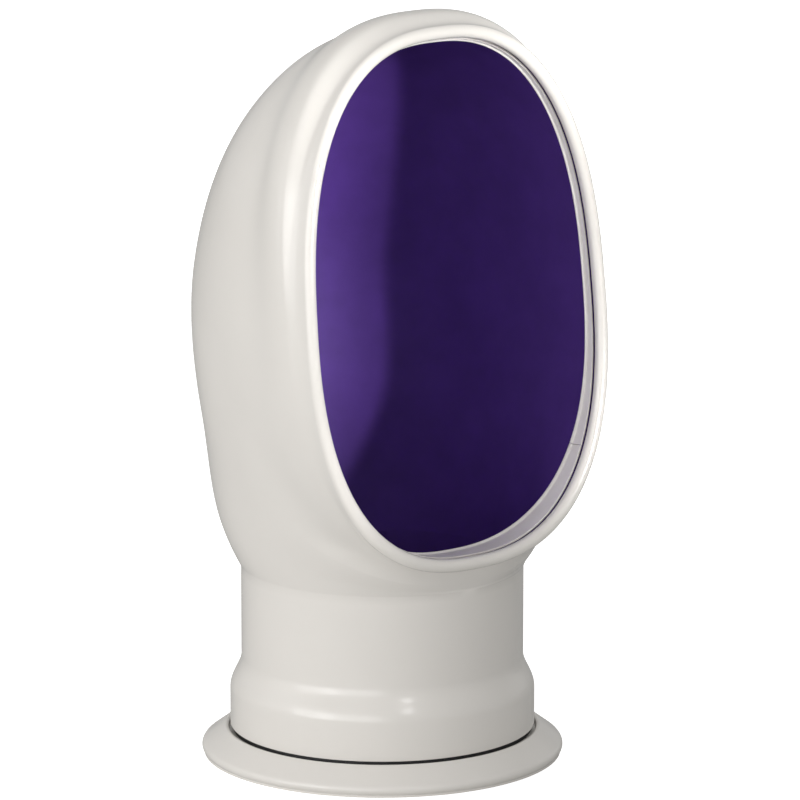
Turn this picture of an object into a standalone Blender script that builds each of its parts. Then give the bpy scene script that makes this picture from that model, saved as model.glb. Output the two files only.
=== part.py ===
"""Cowl vent with a moulded hood that turns on a deck ring, and a screw-down closing valve in its neck.

Sizes are in millimetres and become metres when a mesh is made. Z is up, the neck's axis is the Z axis,
the deck is at Z = 0 and the mouth faces -Y.
"""
import math

import bmesh
import bpy
import numpy as np

MM = 0.001

# Fits between pieces
GAP = 0.3
RUNNING_FIT = 0.5
SKIN_GAP = 0.35
THREAD_FIT = 0.4

# Fineness of the round pieces
COWL_SEGMENTS = 48
ROUND_SEGMENTS = 36
SMALL_SEGMENTS = 10
HOOD_STEPS = 14
BAND_STEPS = 8
BAND_START = 0.78
INNER_STEPS = 11
LIP_STEPS = 6

# Deck ring, which is screwed down through its inner ledge; the spigot's radius drives the round pieces
SPIGOT_R = 53.0
SPIGOT_WALL = 5.5
SPIGOT_TOP = 25.0
FLANGE_WIDTH = 10.7
RING_EDGE = 3.0
RING_EDGE_ROUND = 2.4
RING_CREST = 11.0
SEAT_HEIGHT = 9.0
LEDGE_WIDTH = 9.5
LEDGE_THICKNESS = 4.0
FIXING_COUNT = 6
FIXING_HOLE_R = 2.1
FIXING_HEAD_R = 3.9
EDGE_ROUND = 0.6

# Gasket under the deck ring
GASKET_SETBACK = 7.3
GASKET_WIDTH = 4.5
GASKET_THICKNESS = 1.9

# Cowl: collar, neck and shell
COLLAR_WALL = 4.2
COLLAR_GAP = 0.6
COLLAR_HEIGHT = 15.0
SHOULDER_HEIGHT = 13.5
SHOULDER_STEP = 4.5
NECK_TOP = 76.5
WALL = 3.0
CONE_HEIGHT = 4.0

# Mouth of the cowl, measured to the middle of the lip's roll; its foot hangs in front of the neck
MOUTH_HALF_WIDTH = 70.5
MOUTH_HALF_HEIGHT = 103.3
MOUTH_OVERHANG = 3.2
MOUTH_FOOT_RISE = 9.1
MOUTH_LEAN = math.radians(6.3)
MOUTH_SQUARENESS = 2.48
MOUTH_NARROWING = 0.033
LIP_R = 2.6

# Hood between the neck and the mouth: how far the section has turned, and the shares of the growth
# in length and in width that it has made by then
HOOD_GUIDE = (
    (0.00, 0.00, 0.00),
    (0.12, 0.137, 0.21),
    (0.33, 0.335, 0.49),
    (0.55, 0.74, 0.80),
    (0.75, 0.97, 1.03),
    (0.90, 1.035, 1.04),
    (1.00, 1.00, 1.00),
)

# Thick band behind the lip, which grows towards the crown, and the valley behind the band
BAND_RISE = 5.1
BAND_PLACE = 14.0
VALLEY_DEPTH = 0.5
VALLEY_PLACE = 33.0
BAND_WIDTH = 11.0
BAND_START_DEPTH = 10.0
BAND_FADE_HEIGHT = 200.0

# Coloured lining and the white strip over its front edge
LINER_THICKNESS = 1.0
LINER_SETUP = 2.2
STRIP_THICKNESS = 1.0
STRIP_DEPTH = 2.1
STRIP_EXTRA_DEPTH = 10.4
STRIP_DEEPENING = 4.9
STRIP_BEAD = 0.8
STRIP_JOINT = math.radians(-36.0)

# Bearing that lets the cowl turn
COLLAR_SEAL_THICKNESS = 1.9
COLLAR_SEAL_WIDTH = 5.5
COLLAR_SEAL_SETBACK = 1.0
SLIP_RING_THICKNESS = 1.7
RETAINER_OVERHANG = 2.0
RETAINER_THICKNESS = 2.0
COUNTERBORE_CLEARANCE = 1.3
RETAINER_SCREWS = 6

# Small screws with countersunk heads
SCREW_R = 1.25
SCREW_HEAD_R = 2.1
SCREW_HEAD_DEPTH = 1.2
RETAINER_SCREW_LENGTH = 9.0
BRIDGE_SCREW_LENGTH = 8.0

# Insect screen on the ledge
SCREEN_FRAME_THICKNESS = 1.6
SCREEN_OVERLAP = 3.0
SCREEN_THICKNESS = 0.5
SCREEN_PITCH = 12.0
SCREEN_BAR = 1.6
SCREEN_RIM = 2.2

# Bridge that carries the valve's stud, with the valve's seat on its ring
BRIDGE_RING_WIDTH = 6.7
BRIDGE_THICKNESS = 3.0
BRIDGE_ARMS = 3
BRIDGE_ARM_WIDTH = 6.0
BRIDGE_HUB_R = 8.5
BRIDGE_HUB_HEIGHT = 5.0
STUD_R = 4.0
STUD_NUT_R = 6.9
STUD_NUT_HEIGHT = 3.0
STOP_R = 6.5
STOP_THICKNESS = 1.5

# Closing disc with its seal
VALVE_LIFT = 22.0
DISC_CLEARANCE = 1.2
DISC_EDGE = 3.0
DISC_WALL = 2.8
DISC_RISE = 3.2
DISC_BOSS_R = 11.7
DISC_BOSS_HEIGHT = 3.3
DISC_SEAL_WIDTH = 5.0
DISC_SEAL_THICKNESS = 2.2

# Hand knob and the keeper nut that holds it to the disc
KNOB_FLANGE_THICKNESS = 1.8
KNOB_NECK_R = 9.0
KNOB_R = 22.0
KNOB_HEIGHT = 12.0
KNOB_LOBES = 6
KNOB_LOBE_DEPTH = 0.07
KEEPER_WALL = 2.2
KEEPER_LIP = 1.5

# Levels and radii that follow from the sizes above
DUCT_R = SPIGOT_R - SPIGOT_WALL
LEDGE_R = DUCT_R - LEDGE_WIDTH
SCREEN_R = LEDGE_R + SCREEN_OVERLAP
RETAINER_R = SPIGOT_R + RETAINER_OVERHANG
COUNTERBORE_R = RETAINER_R + COUNTERBORE_CLEARANCE
COLLAR_R = COUNTERBORE_R + COLLAR_WALL
NECK_R = COLLAR_R - SHOULDER_STEP
RING_R = COLLAR_R + COLLAR_GAP + FLANGE_WIDTH
GASKET_R = RING_R - GASKET_SETBACK
COLLAR_SEAL_FOOT = SEAT_HEIGHT + GAP
COLLAR_FOOT = COLLAR_SEAL_FOOT + COLLAR_SEAL_THICKNESS + GAP
SLIP_RING_FOOT = SPIGOT_TOP - SLIP_RING_THICKNESS
RETAINER_FOOT = SPIGOT_TOP + GAP
RETAINER_TOP = RETAINER_FOOT + RETAINER_THICKNESS
CONE_FOOT = RETAINER_TOP + RUNNING_FIT
LINER_FOOT = CONE_FOOT + CONE_HEIGHT + LINER_SETUP
SCREEN_FRAME_FOOT = LEDGE_THICKNESS + GAP
BRIDGE_FOOT = SCREEN_FRAME_FOOT + SCREEN_FRAME_THICKNESS + GAP
BRIDGE_TOP = BRIDGE_FOOT + BRIDGE_THICKNESS
BRIDGE_HUB_TOP = BRIDGE_FOOT + BRIDGE_HUB_HEIGHT
BRIDGE_R = DUCT_R - GAP
BRIDGE_SCREW_PITCH_R = BRIDGE_R - BRIDGE_RING_WIDTH / 2
RETAINER_SCREW_PITCH_R = (SPIGOT_R + DUCT_R) / 2
STUD_NUT_FOOT = BRIDGE_HUB_TOP + GAP
DISC_SEAL_FOOT = BRIDGE_TOP + GAP
DISC_FOOT = DISC_SEAL_FOOT + DISC_SEAL_THICKNESS + GAP
DISC_R = DUCT_R - DISC_CLEARANCE
DISC_CROWN = DISC_FOOT + DISC_EDGE + DISC_RISE
DISC_BOSS_TOP = DISC_CROWN + DISC_BOSS_HEIGHT
KNOB_FOOT = DISC_BOSS_TOP + GAP
KNOB_FLANGE_R = DISC_BOSS_R - 0.7
KEEPER_TOP = KNOB_FOOT + KNOB_FLANGE_THICKNESS + GAP + KEEPER_LIP
KNOB_GRIP_FOOT = KEEPER_TOP + 1.0
KNOB_TOP = KNOB_GRIP_FOOT + KNOB_HEIGHT
STOP_FOOT = KNOB_TOP + VALVE_LIFT + RUNNING_FIT
STUD_TOP = STOP_FOOT + STOP_THICKNESS + 1.0

# Directions of the leaning mouth: up along it, and straight back into the hood
MOUTH_UP = np.array([0.0, math.sin(MOUTH_LEAN), math.cos(MOUTH_LEAN)])
MOUTH_BACK = np.array([0.0, math.cos(MOUTH_LEAN), -math.sin(MOUTH_LEAN)])
MOUTH_FOOT = np.array([0.0, -NECK_R - MOUTH_OVERHANG, NECK_TOP + MOUTH_FOOT_RISE])
MOUTH_CENTRE = MOUTH_FOOT + (MOUTH_HALF_HEIGHT + LIP_R) * MOUTH_UP
AROUND = np.linspace(0.0, 2.0 * math.pi, COWL_SEGMENTS, endpoint=False)
HALF_FACET = math.pi / ROUND_SEGMENTS


def clear_scene():
    """Remove every object, so the part starts from an empty scene."""
    for thing in list(bpy.data.objects):
        bpy.data.objects.remove(thing, do_unlink=True)


def ease(share):
    """Smooth step from 0 to 1."""
    share = np.clip(share, 0.0, 1.0)
    return share * share * (3.0 - 2.0 * share)


def signed_power(value, power):
    """Raise the size of a value to a power and keep its sign."""
    return np.sign(value) * np.abs(value) ** power


def oval(angles, half_width, half_height, squareness, narrowing):
    """Points of an oval that is squarer than an ellipse and may narrow towards its top."""
    across = signed_power(np.cos(angles), 2.0 / squareness)
    upward = signed_power(np.sin(angles), 2.0 / squareness)
    return half_width * across * (1.0 - narrowing * upward), half_height * upward


def guide(turn, column):
    """Read one column of the hood's guide at a turn, on a smooth curve through its rows."""
    turns = np.array([row[0] for row in HOOD_GUIDE])
    shares = np.array([row[column] for row in HOOD_GUIDE])
    slopes = np.gradient(shares, turns)
    row = int(np.clip(np.searchsorted(turns, turn) - 1, 0, len(turns) - 2))
    step = turns[row + 1] - turns[row]
    t = (turn - turns[row]) / step
    start = (1 + 2 * t) * (1 - t) ** 2 * shares[row] + t * (1 - t) ** 2 * step * slopes[row]
    end = t * t * (3 - 2 * t) * shares[row + 1] + t * t * (t - 1) * step * slopes[row + 1]
    return start + end


def hood_section(turn, grow):
    """Oval section of the hood at a turn, in a plane that swings round the neck's front line."""
    half_length = NECK_R + (MOUTH_HALF_HEIGHT + LIP_R - NECK_R) * guide(turn, 1)
    half_width = NECK_R + (MOUTH_HALF_WIDTH + LIP_R - NECK_R) * guide(turn, 2)
    squareness = 2.0 + (MOUTH_SQUARENESS - 2.0) * (0.4 * min(turn / 0.4, 1.0) + 0.6 * turn)
    neck_front = np.array([-NECK_R, NECK_TOP])
    front = neck_front + float(ease(turn)) * (MOUTH_FOOT[1:] - neck_front)
    tilt = turn * (math.pi / 2 - MOUTH_LEAN)
    across, along = oval(AROUND, half_width + grow, half_length + grow, squareness, MOUTH_NARROWING * turn)
    along = along + half_length
    return np.stack([across, front[0] + along * math.cos(tilt), front[1] + along * math.sin(tilt)], axis=1)


def outer_ring(turn):
    """Ring of the hood's outer skin, with the band and the valley that run parallel to the mouth."""
    plain = hood_section(turn, 0.0)
    behind = (plain - MOUTH_CENTRE) @ MOUTH_BACK
    band = BAND_RISE * np.exp(-((behind - BAND_PLACE) / BAND_WIDTH) ** 2) * ease(behind / BAND_START_DEPTH)
    valley = VALLEY_DEPTH * np.exp(-((behind - VALLEY_PLACE) / BAND_WIDTH) ** 2)
    clear_of_neck = plain[:, 2] - NECK_TOP - 4 * LIP_R
    return hood_section(turn, (band - valley) * ease(clear_of_neck / BAND_FADE_HEIGHT))


def inner_ring(turn, inset):
    """Ring inside the outer skin, which stops behind the lip's roll and leaves it room."""
    setback = (LIP_R + GAP) * float(ease((turn - 0.8) / 0.2))
    return hood_section(turn, -inset) + setback * MOUTH_BACK


def mouth_ring(grow, depth):
    """Ring parallel to the mouth, grown from the middle of the lip's roll and set back by a depth."""
    across, upward = oval(
        AROUND, MOUTH_HALF_WIDTH + grow, MOUTH_HALF_HEIGHT + grow, MOUTH_SQUARENESS, MOUTH_NARROWING
    )
    flat = np.stack([across, np.zeros_like(across), np.zeros_like(across)], axis=1)
    return MOUTH_CENTRE + flat + upward[:, None] * MOUTH_UP + depth * MOUTH_BACK


def level_ring(radius, height):
    """Level circle about the neck's axis."""
    return np.stack([radius * np.cos(AROUND), radius * np.sin(AROUND), np.full(COWL_SEGMENTS, height)], axis=1)


def arc(radius_centre, height_centre, radius, start, end, steps):
    """Points of an arc in a turned outline, with angles in degrees."""
    angles = np.radians(np.linspace(start, end, steps + 1))
    return [
        (radius_centre + radius * math.cos(angle), height_centre + radius * math.sin(angle)) for angle in angles
    ]


def add_object(name, mesh_builder, material=None, parent=None):
    """Turn a bmesh in millimetres into a closed object in metres, with its faces pointing out."""
    bmesh.ops.scale(mesh_builder, vec=(MM, MM, MM), verts=mesh_builder.verts)
    bmesh.ops.recalc_face_normals(mesh_builder, faces=mesh_builder.faces)
    mesh = bpy.data.meshes.new(name)
    mesh_builder.to_mesh(mesh)
    mesh_builder.free()
    mesh.shade_smooth()
    mesh.set_sharp_from_angle(angle=math.radians(38))
    thing = bpy.data.objects.new(name, mesh)
    bpy.context.scene.collection.objects.link(thing)
    if material:
        mesh.materials.append(material)
    if parent:
        thing.parent = parent
    return thing


def loft(builder, rings, closed):
    """Skin a row of rings, joined end to start where it is closed, with capped ends where it isn't."""
    rows = [[builder.verts.new(point) for point in ring] for ring in rings]
    pairs = list(zip(rows, rows[1:]))
    if closed:
        pairs.append((rows[-1], rows[0]))
    for lower, upper in pairs:
        for i in range(len(lower)):
            j = (i + 1) % len(lower)
            builder.faces.new((lower[i], lower[j], upper[j], upper[i]))
    if not closed:
        builder.faces.new(rows[0])
        builder.faces.new(rows[-1])


def turn_outline(builder, outline, segments, centre=(0.0, 0.0)):
    """Spin an outline of (radius, height) points about a vertical line; one that starts on it is open."""
    solid = outline[0][0] == 0.0
    points = [builder.verts.new((centre[0] + radius, centre[1], height)) for radius, height in outline]
    edges = [builder.edges.new(pair) for pair in zip(points, points[1:])]
    if not solid:
        edges.append(builder.edges.new((points[-1], points[0])))
    bmesh.ops.spin(
        builder,
        geom=points + edges,
        cent=(centre[0], centre[1], 0.0),
        axis=(0.0, 0.0, 1.0),
        angle=2.0 * math.pi,
        steps=segments,
        use_merge=True,
    )
    bmesh.ops.remove_doubles(builder, verts=builder.verts, dist=0.001)


def turned(name, outline, material=None, parent=None, segments=ROUND_SEGMENTS):
    """One turned piece about the neck's axis."""
    builder = bmesh.new()
    turn_outline(builder, outline, segments)
    return add_object(name, builder, material, parent)


def flat_ring(inner_radius, outer_radius, foot, top, chamfer=0.0):
    """Outline of a plain ring with its upper edges broken by a chamfer."""
    if chamfer == 0.0:
        return [(inner_radius, foot), (outer_radius, foot), (outer_radius, top), (inner_radius, top)]
    return [
        (inner_radius, foot),
        (outer_radius, foot),
        (outer_radius, top - chamfer),
        (outer_radius - chamfer, top),
        (inner_radius + chamfer, top),
        (inner_radius, top - chamfer),
    ]


def around_circle(count, radius, first=0.0):
    """Centres that are evenly spaced on a circle about the neck's axis, clear of the edges of its facets."""
    angles = [first + HALF_FACET + 2.0 * math.pi * i / count for i in range(count)]
    return [(radius * math.cos(angle), radius * math.sin(angle)) for angle in angles]


def bore(thing, name, outline, centres):
    """Cut the same turned hole at each centre with one cutter."""
    builder = bmesh.new()
    for centre in centres:
        turn_outline(builder, outline, SMALL_SEGMENTS, centre)
    cutter = add_object(name, builder)
    combine(thing, cutter, "DIFFERENCE")


def combine(thing, other, operation):
    """Join, cut or clip one object by another that isn't part of the finished model."""
    other.hide_render = True
    other.display_type = "WIRE"
    modifier = thing.modifiers.new(other.name, "BOOLEAN")
    modifier.operation = operation
    modifier.solver = "EXACT"
    modifier.object = other


def finish(name, colour, roughness, metallic=0.0):
    """Principled material with one colour, roughness and metallic value."""
    material = bpy.data.materials.new(name)
    material.use_nodes = True
    shader = material.node_tree.nodes["Principled BSDF"]
    shader.inputs["Base Color"].default_value = (*colour, 1.0)
    shader.inputs["Roughness"].default_value = roughness
    shader.inputs["Metallic"].default_value = metallic
    return material


def empty_on_axis(name, parent=None):
    """Empty on the neck's axis that carries the pieces of one moving body."""
    thing = bpy.data.objects.new(name, None)
    bpy.context.scene.collection.objects.link(thing)
    thing.empty_display_size = 20 * MM
    if parent:
        thing.parent = parent
    return thing


def collar_outline():
    """Outer outline of the collar and its shoulder, from the foot up to the neck."""
    shoulder_foot = COLLAR_FOOT + COLLAR_HEIGHT
    outline = [(COLLAR_R - EDGE_ROUND, COLLAR_FOOT), (COLLAR_R, COLLAR_FOOT + EDGE_ROUND)]
    for share in (0.0, 0.25, 0.5, 0.75, 1.0):
        radius = COLLAR_R + (NECK_R - COLLAR_R) * float(ease(share))
        outline.append((radius, shoulder_foot + SHOULDER_HEIGHT * share))
    return outline


def make_cowl_shell(material, parent):
    """The moulded cowl: collar, neck, hood and rolled lip as one shell of even wall."""
    rings = [level_ring(radius, height) for radius, height in collar_outline()]
    turns = [*np.linspace(0.0, BAND_START, HOOD_STEPS), *np.linspace(BAND_START, 1.0, BAND_STEPS + 1)[1:]]
    rings += [outer_ring(turn) for turn in turns]
    for angle in np.radians(np.linspace(0.0, 245.0, LIP_STEPS + 1)[1:]):
        rings.append(mouth_ring(LIP_R * math.cos(angle), -LIP_R * math.sin(angle)))
    rings += [inner_ring(turn, WALL) for turn in np.linspace(1.0, 0.0, INNER_STEPS)]
    rings.append(level_ring(NECK_R - WALL, CONE_FOOT + CONE_HEIGHT))
    rings.append(level_ring(COUNTERBORE_R, CONE_FOOT))
    rings.append(level_ring(COUNTERBORE_R, COLLAR_FOOT))
    builder = bmesh.new()
    loft(builder, rings, closed=True)
    return add_object("cowl_shell", builder, material, parent)


def make_inner_liner(material, parent):
    """Thin coloured lining that follows the inside of the hood and the neck."""
    outer_inset = WALL + SKIN_GAP
    inner_inset = outer_inset + LINER_THICKNESS
    rings = [level_ring(NECK_R - outer_inset, LINER_FOOT)]
    rings += [inner_ring(turn, outer_inset) for turn in np.linspace(0.0, 1.0, INNER_STEPS)]
    rings += [inner_ring(turn, inner_inset) for turn in np.linspace(1.0, 0.0, INNER_STEPS)]
    rings.append(level_ring(NECK_R - inner_inset, LINER_FOOT))
    builder = bmesh.new()
    loft(builder, rings, closed=True)
    return add_object("inner_liner", builder, material, parent)


def strip_section(angle):
    """Section of the strip at one place round the mouth, deeper towards the bottom."""
    lowness = ((1.0 - math.sin(angle)) / 2.0) ** STRIP_DEEPENING
    front = LIP_R + GAP
    back = front + STRIP_DEPTH + STRIP_EXTRA_DEPTH * lowness
    seat = LIP_R - WALL - 2 * SKIN_GAP - LINER_THICKNESS
    face = seat - STRIP_THICKNESS
    return (
        (seat, front),
        (seat, back),
        (face - STRIP_BEAD, back),
        (face - STRIP_BEAD, back - STRIP_BEAD),
        (face, back - 1.5 * STRIP_BEAD),
        (face, front),
    )


def make_rim_strip(material, parent):
    """White trim strip round the mouth, with a raised back edge and an open butt joint."""
    half_joint = GAP / (MOUTH_HALF_WIDTH + MOUTH_HALF_HEIGHT)
    first = STRIP_JOINT + half_joint
    last = STRIP_JOINT + 2 * math.pi - half_joint
    turns = np.concatenate([AROUND - 2 * math.pi, AROUND])
    angles = [first, *turns[(turns > first) & (turns < last)], last]
    sections = []
    for angle in angles:
        section = []
        for grow, depth in strip_section(angle):
            across, upward = oval(
                angle, MOUTH_HALF_WIDTH + grow, MOUTH_HALF_HEIGHT + grow, MOUTH_SQUARENESS, MOUTH_NARROWING
            )
            place = MOUTH_CENTRE + upward * MOUTH_UP + depth * MOUTH_BACK
            section.append((float(across), float(place[1]), float(place[2])))
        sections.append(section)
    builder = bmesh.new()
    loft(builder, sections, closed=False)
    return add_object("rim_strip", builder, material, parent)


def make_bearing_ring(material, parent):
    """Ring bonded inside the collar, which turns on the spigot and is trapped under the retainer."""
    foot = COLLAR_FOOT + GAP
    top = SLIP_RING_FOOT - GAP
    outline = flat_ring(SPIGOT_R + RUNNING_FIT, COUNTERBORE_R - GAP, foot, top, chamfer=0.5)
    return turned("collar_ring", outline, material, parent)


def deck_ring_outline():
    """Outline of the deck ring: sloping flange, seat for the collar, spigot, duct and ledge."""
    seat_r = COLLAR_R + COLLAR_GAP
    edge = arc(RING_R - RING_EDGE_ROUND, RING_EDGE, RING_EDGE_ROUND, 0.0, 55.0, 3)
    groove_top = GASKET_THICKNESS + GAP
    return [
        (LEDGE_R, 0.0),
        (GASKET_R - GASKET_WIDTH, 0.0),
        (GASKET_R - GASKET_WIDTH, groove_top),
        (GASKET_R, groove_top),
        (GASKET_R, 0.0),
        (RING_R - EDGE_ROUND, 0.0),
        (RING_R, EDGE_ROUND),
        *edge,
        (seat_r + 3 * EDGE_ROUND, RING_CREST - EDGE_ROUND),
        (seat_r + EDGE_ROUND, RING_CREST),
        (seat_r, RING_CREST - EDGE_ROUND),
        (seat_r, SEAT_HEIGHT),
        (SPIGOT_R, SEAT_HEIGHT),
        (SPIGOT_R, SPIGOT_TOP),
        (DUCT_R, SPIGOT_TOP),
        (DUCT_R, LEDGE_THICKNESS),
        (LEDGE_R, LEDGE_THICKNESS),
    ]


def make_deck_ring(material):
    """Deck ring with its fixing holes, and blind holes for the retainer's and the bridge's screws."""
    ring = turned("deck_ring", deck_ring_outline(), material)
    head_depth = FIXING_HEAD_R - FIXING_HOLE_R
    fixing = [
        (0.0, -1.0),
        (FIXING_HOLE_R, -1.0),
        (FIXING_HOLE_R, LEDGE_THICKNESS - head_depth),
        (FIXING_HEAD_R, LEDGE_THICKNESS),
        (FIXING_HEAD_R, LEDGE_THICKNESS + 1.0),
        (0.0, LEDGE_THICKNESS + 1.0),
    ]
    pitch_r = (LEDGE_R + DUCT_R) / 2
    bore(ring, "fixing_holes", fixing, around_circle(FIXING_COUNT, pitch_r))
    screw_foot = RETAINER_TOP - RETAINER_SCREW_LENGTH
    bore(
        ring,
        "retainer_screw_holes",
        blind_hole(screw_foot - GAP, SPIGOT_TOP + 1.0),
        around_circle(RETAINER_SCREWS, RETAINER_SCREW_PITCH_R),
    )
    bore(
        ring,
        "bridge_screw_holes",
        blind_hole(BRIDGE_TOP - BRIDGE_SCREW_LENGTH - GAP, LEDGE_THICKNESS + 1.0),
        bridge_screw_centres(),
    )
    return ring


def blind_hole(foot, top):
    """Outline of a straight hole for a small screw."""
    radius = SCREW_R + GAP
    return [(0.0, foot), (radius, foot), (radius, top), (0.0, top)]


def countersunk_hole(foot, top):
    """Outline of a through hole with a countersink for a small screw's head."""
    radius = SCREW_R + GAP
    head = SCREW_HEAD_R + GAP
    return [
        (0.0, foot - 1.0),
        (radius, foot - 1.0),
        (radius, top - SCREW_HEAD_DEPTH - GAP),
        (head, top - GAP),
        (head, top + 1.0),
        (0.0, top + 1.0),
    ]


def make_screws(name, centres, top, length, material):
    """Countersunk screws, each its own piece, with heads just below the face they are driven into."""
    for number, centre in enumerate(centres, start=1):
        head = top - GAP / 3
        outline = [
            (0.0, top - length),
            (SCREW_R * 0.7, top - length),
            (SCREW_R, top - length + 0.6),
            (SCREW_R, head - SCREW_HEAD_DEPTH),
            (SCREW_HEAD_R, head - 0.15),
            (SCREW_HEAD_R, head),
            (0.0, head),
        ]
        builder = bmesh.new()
        turn_outline(builder, outline, SMALL_SEGMENTS, centre)
        add_object(f"{name}_{number}", builder, material)


def bridge_screw_centres():
    """Places of the screws that hold the bridge and the screen to the ledge."""
    return around_circle(BRIDGE_ARMS, BRIDGE_SCREW_PITCH_R, first=math.pi / 6)


def make_bearing_stack(white, rubber, plastic, steel):
    """Pieces that stay with the deck ring and let the cowl turn on it."""
    gasket_inner = GASKET_R - GASKET_WIDTH + GAP
    turned("deck_gasket", flat_ring(gasket_inner, GASKET_R - GAP, 0.0, GASKET_THICKNESS), rubber)
    seal_r = COLLAR_R - COLLAR_SEAL_SETBACK
    seal = flat_ring(seal_r - COLLAR_SEAL_WIDTH, seal_r, COLLAR_SEAL_FOOT, COLLAR_FOOT - GAP, chamfer=0.4)
    turned("collar_seal", seal, rubber)
    slip = flat_ring(SPIGOT_R + GAP, RETAINER_R + 0.9, SLIP_RING_FOOT, SPIGOT_TOP)
    turned("slip_ring", slip, plastic)
    outline = flat_ring(DUCT_R + GAP, RETAINER_R, RETAINER_FOOT, RETAINER_TOP, chamfer=0.4)
    retainer = turned("retaining_ring", outline, white)
    centres = around_circle(RETAINER_SCREWS, RETAINER_SCREW_PITCH_R)
    bore(retainer, "retainer_holes", countersunk_hole(RETAINER_FOOT, RETAINER_TOP), centres)
    make_screws("retainer_screw", centres, RETAINER_TOP, RETAINER_SCREW_LENGTH, steel)


def make_screen(plastic, steel):
    """Insect screen: a frame with a rebate, and a net of crossing bars in a rim."""
    foot = SCREEN_FRAME_FOOT
    top = foot + SCREEN_FRAME_THICKNESS
    net_foot = top - SCREEN_THICKNESS - GAP / 3
    outline = [
        (LEDGE_R + 0.4, foot),
        (DUCT_R - GAP, foot),
        (DUCT_R - GAP, top),
        (SCREEN_R + GAP, top),
        (SCREEN_R + GAP, net_foot - GAP),
        (LEDGE_R + 0.4, net_foot - GAP),
    ]
    frame = turned("screen_frame", outline, plastic)
    bore(frame, "frame_screw_holes", blind_hole(foot - 1.0, top + 1.0), bridge_screw_centres())
    make_screen_net(net_foot, steel)


def make_screen_net(foot, steel):
    """Net of crossing bars, clipped to a circle and joined to a rim."""
    count = int(2 * SCREEN_R / SCREEN_PITCH) + 2
    edges = []
    for i in range(count):
        middle = (i - (count - 1) / 2) * SCREEN_PITCH
        edges += [middle - SCREEN_BAR / 2, middle + SCREEN_BAR / 2]
    builder = bmesh.new()
    rows = [[builder.verts.new((x, y, foot)) for x in edges] for y in edges]
    for i in range(len(edges) - 1):
        for j in range(len(edges) - 1):
            if i % 2 == 0 or j % 2 == 0:
                builder.faces.new((rows[i][j], rows[i][j + 1], rows[i + 1][j + 1], rows[i + 1][j]))
    grown = bmesh.ops.extrude_face_region(builder, geom=builder.faces[:], use_keep_orig=True)
    lifted = [item for item in grown["geom"] if isinstance(item, bmesh.types.BMVert)]
    bmesh.ops.translate(builder, vec=(0.0, 0.0, SCREEN_THICKNESS), verts=lifted)
    bars = add_object("screen_mesh", builder, steel)
    top = foot + SCREEN_THICKNESS
    middle_r = SCREEN_R - SCREEN_RIM / 2
    clip = [(0.0, foot - 1.0), (middle_r, foot - 1.0), (middle_r, top + 1.0), (0.0, top + 1.0)]
    combine(bars, turned("screen_clip", clip), "INTERSECT")
    rim = turned("screen_rim", flat_ring(SCREEN_R - SCREEN_RIM, SCREEN_R, foot, top))
    combine(bars, rim, "UNION")


def make_bridge(material, steel):
    """Bridge across the duct: a ring with the valve's seat, a hub for the stud and arms between them."""
    ring_outline = flat_ring(BRIDGE_R - BRIDGE_RING_WIDTH, BRIDGE_R, BRIDGE_FOOT, BRIDGE_TOP)
    bridge = turned("valve_bridge", ring_outline, material)
    reach = BRIDGE_R - BRIDGE_RING_WIDTH / 2
    for number in range(BRIDGE_ARMS):
        angle = math.pi / 6 + 2.0 * math.pi * (number + 0.5) / BRIDGE_ARMS
        builder = bmesh.new()
        bmesh.ops.create_cube(builder, size=1.0)
        bmesh.ops.scale(builder, vec=(reach, BRIDGE_ARM_WIDTH, BRIDGE_THICKNESS - 0.6), verts=builder.verts)
        middle = BRIDGE_FOOT + BRIDGE_THICKNESS / 2
        bmesh.ops.translate(builder, vec=(reach / 2, 0.0, middle), verts=builder.verts)
        turn = [[math.cos(angle), -math.sin(angle), 0.0], [math.sin(angle), math.cos(angle), 0.0], [0.0, 0.0, 1.0]]
        for vertex in builder.verts:
            vertex.co = [sum(row[k] * vertex.co[k] for k in range(3)) for row in turn]
        combine(bridge, add_object(f"bridge_arm_{number + 1}", builder), "UNION")
    hub = [(0.0, BRIDGE_FOOT), (BRIDGE_HUB_R, BRIDGE_FOOT), (BRIDGE_HUB_R, BRIDGE_HUB_TOP), (0.0, BRIDGE_HUB_TOP)]
    combine(bridge, turned("bridge_hub", hub, segments=24), "UNION")
    stud_hole_r = STUD_R + GAP
    hole = [
        (0.0, BRIDGE_FOOT - 1.0),
        (stud_hole_r, BRIDGE_FOOT - 1.0),
        (stud_hole_r, BRIDGE_HUB_TOP + 1.0),
        (0.0, BRIDGE_HUB_TOP + 1.0),
    ]
    combine(bridge, turned("bridge_stud_hole", hole, segments=24), "DIFFERENCE")
    centres = bridge_screw_centres()
    bore(bridge, "bridge_holes", countersunk_hole(BRIDGE_FOOT, BRIDGE_TOP), centres)
    make_screws("bridge_screw", centres, BRIDGE_TOP, BRIDGE_SCREW_LENGTH, steel)


def make_stud(steel):
    """Threaded stud in the bridge's hub, with its lock nut and the stop at its top."""
    foot = BRIDGE_FOOT + GAP
    stud = [
        (0.0, foot),
        (STUD_R - 0.6, foot),
        (STUD_R, foot + 0.6),
        (STUD_R, STUD_TOP - 0.8),
        (STUD_R - 0.8, STUD_TOP),
        (0.0, STUD_TOP),
    ]
    turned("valve_stud", stud, steel, segments=24)
    make_hexagon_nut("stud_nut", STUD_NUT_FOOT, STUD_NUT_FOOT + STUD_NUT_HEIGHT, steel)
    bore_r = STUD_R + GAP
    turned("stud_stop", flat_ring(bore_r, STOP_R, STOP_FOOT, STOP_FOOT + STOP_THICKNESS), steel, segments=24)


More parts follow.
